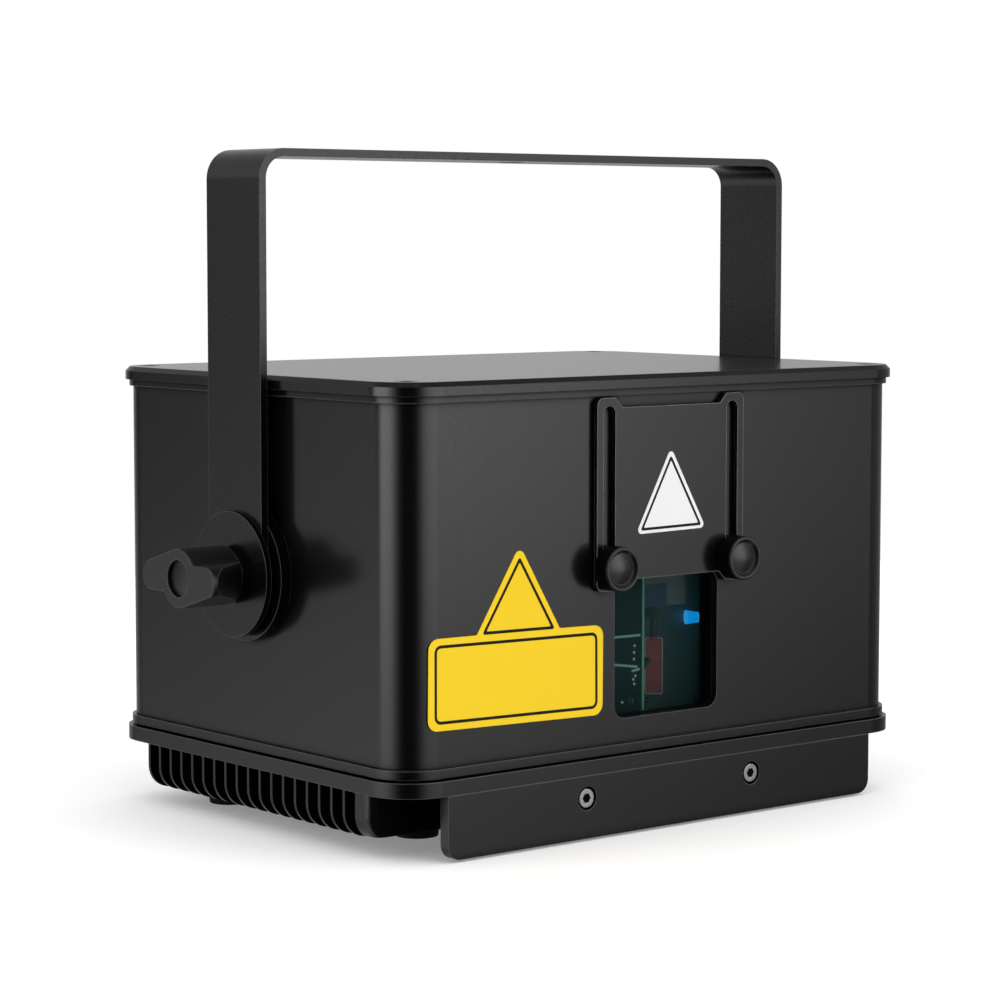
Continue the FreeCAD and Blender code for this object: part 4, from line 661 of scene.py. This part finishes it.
CAMERA_PLACE = Vector((-0.76442, -0.91955, 0.22263))
SENSOR, LENS, NEAREST = 36.0, 108.36, 0.05
yaw, pitch, roll = (math.radians(degrees) for degrees in (39.523, 5.012, 0.042))
camera_data = bpy.data.cameras.new("camera")
camera_data.sensor_fit = "HORIZONTAL"
camera_data.sensor_width = SENSOR
camera_data.lens = LENS
camera_data.clip_start = NEAREST
camera = bpy.data.objects.new("camera", camera_data)
bpy.context.scene.collection.objects.link(camera)
ahead = Vector((math.sin(yaw) * math.cos(pitch), math.cos(yaw) * math.cos(pitch),
                -math.sin(pitch)))
right = Vector((math.cos(yaw), -math.sin(yaw), 0.0))
upright = Matrix((right, right.cross(ahead), -ahead)).transposed().to_4x4()
rolled = upright @ Matrix.Rotation(roll, 4, "Z")
camera.matrix_world = Matrix.Translation(CAMERA_PLACE) @ rolled
bpy.context.scene.camera = camera


# Floor and studio light

FLOOR_HALF = 0.75
FLOOR_COLOUR, FLOOR_ROUGHNESS = (0.8, 0.8, 0.8, 1), 0.9
FLOOR_GLOW = 0.22    # whitens the floor for the camera alone


def directly_seen(graph, path):
    return graph.calculate("MAXIMUM", path["Is Camera Ray"], path["Is Transmission Ray"])


def make_floor():
    """A white floor that keeps the part's shadow and isn't reflected in it."""
    corners = [(u * FLOOR_HALF, v * FLOOR_HALF, 0)
               for u, v in ((-1, -1), (1, -1), (1, 1), (-1, 1))]
    mesh = bpy.data.meshes.new("floor")
    mesh.from_pydata(corners, [], [(0, 1, 2, 3)])
    floor = bpy.data.objects.new("floor", mesh)
    bpy.context.scene.collection.objects.link(floor)
    material = bpy.data.materials.new("floor_white")
    graph = Graph(material)
    shader = graph.nodes["Principled BSDF"]
    graph.fill(shader, {"Base Color": FLOOR_COLOUR, "Roughness": FLOOR_ROUGHNESS,
                        "Specular IOR Level": 0.0})
    path = graph.add("LightPath").outputs
    strength = graph.calculate("MULTIPLY", directly_seen(graph, path), FLOOR_GLOW)
    glow = graph.add("Emission", {"Strength": strength})
    both = graph.add("AddShader", {0: shader.outputs["BSDF"], 1: glow.outputs["Emission"]})
    graph.put(both.outputs["Shader"], graph.nodes["Material Output"].inputs["Surface"])
    mesh.materials.append(material)
    floor.visible_glossy = False


# Light levels by bearing, in degrees from the front towards the right
UPPER_AROUND = [(-180, 0.4), (-165, 0.4), (-150, 0.5), (-143.5, 0.7), (-140, 0.8), (-120, 1.0),
                (-86, 1.0), (-66, 0.15), (-56, 0.01), (-26, 0.01), (-17, 0.25), (-7, 1.0),
                (3, 1.8), (20, 2.2), (38, 2.4), (41.5, 1.5), (45, 0.58), (50, 0.3), (100, 0.3),
                (122, 0.4), (134, 0.6), (140, 0.66), (147, 0.66), (165, 0.5), (180, 0.4)]
LEVEL_AROUND = [(-180, 0.4), (-165, 0.12), (-151, 0.03), (-147, 0.05), (-143.5, 0.6),
                (-140, 0.85), (-138.5, 0.4), (-136.5, 0.04), (-129, 0.04), (-123.5, 2.5),
                (-114, 3.6), (-92, 3.6), (-84, 2.4), (-76, 1.1), (-66, 0.15), (-56, 0.01),
                (-26, 0.01), (-17, 0.25), (-7, 1.1), (3, 2.1), (20, 2.6), (38, 2.8), (41.5, 1.7),
                (45, 0.58), (50, 0.3), (100, 0.3), (122, 0.4), (134, 0.6), (140, 0.66),
                (147, 0.66), (165, 0.5), (180, 0.4)]
LOWER_AROUND = [(-180, 0.45), (-150, 0.3), (-147, 0.42), (-143.3, 1.0), (-120, 0.9), (-95, 0.8),
                (-76, 0.3), (-60, 0.01), (-26, 0.01), (-12, 0.2), (0, 0.45), (37, 0.55),
                (41, 0.36), (45, 0.04), (60, 0.1), (100, 0.2), (140, 0.5), (180, 0.45)]
BRIGHTEST = 3.6
# Heights, as the upward share of a direction, between which one level gives way to the next
LOWER_TO_LEVEL, LEVEL_TO_UPPER = (-0.2, -0.05), (0.03, 0.15)
WALL_TO_CEILING, WALL_AT_CEILING = (0.55, 0.85), 0.5
CEILING_RISE, CEILING = (0.45, 0.9), 1.7
CEILING_IN_GLOSS = 0.09    # share of the ceiling that reflections show
WHITE = (1, 1, 1, 1)


def level_around(graph, turn, stops):
    """The level at a bearing, as a share of the brightest. turn goes from 0 to 1."""
    ramp = graph.add("ValToRGB", {"Fac": turn})
    elements = ramp.color_ramp.elements
    while len(elements) < len(stops):
        elements.new(0.5)
    for element, (degrees, level) in zip(elements, stops):
        element.position = (degrees + 180) / 360
        element.color = opaque([level / BRIGHTEST] * 3)
    return ramp.outputs["Color"]


def make_world():
    """White where the camera looks; elsewhere the levels of a studio, which the part reflects.

    One soft box stands on the left, towards the rear, and one in front, towards the right, with
    a dark gap between them. Both are weaker below the horizon and above it. A ceiling lights the
    part from above.
    """
    world = bpy.data.worlds.new("studio")
    bpy.context.scene.world = world
    graph = Graph(world)
    background = graph.nodes["Background"]
    place = graph.add("TexCoord").outputs["Generated"]
    parts = graph.add("SeparateXYZ", {"Vector": place}).outputs
    forward = graph.calculate("MULTIPLY", parts["Y"], -1.0)
    bearing = graph.calculate("ARCTAN2", parts["X"], forward)
    turn = graph.carry(bearing, (-math.pi, math.pi))

    around = level_around(graph, turn, LOWER_AROUND)
    for stops, heights in ((LEVEL_AROUND, LOWER_TO_LEVEL), (UPPER_AROUND, LEVEL_TO_UPPER)):
        rise = graph.carry(parts["Z"], heights, smooth=True)
        around = graph.mix(rise, around, level_around(graph, turn, stops))
    strength = graph.carry(parts["Z"], WALL_TO_CEILING, (BRIGHTEST, WALL_AT_CEILING), smooth=True)
    wall = graph.calculate("MULTIPLY", around, strength)

    path = graph.add("LightPath").outputs
    ceiling = graph.carry(parts["Z"], CEILING_RISE, (0.0, CEILING), smooth=True)
    kept = graph.carry(path["Is Glossy Ray"], (0.0, 1.0), (1.0, CEILING_IN_GLOSS))
    lit = graph.calculate("ADD", wall, graph.calculate("MULTIPLY", ceiling, kept))
    colour = graph.mix(directly_seen(graph, path), lit, WHITE)
    graph.fill(background, {"Strength": 1.0, "Color": colour})


make_floor()
make_world()
bpy.context.scene.view_settings.view_transform = "Standard"
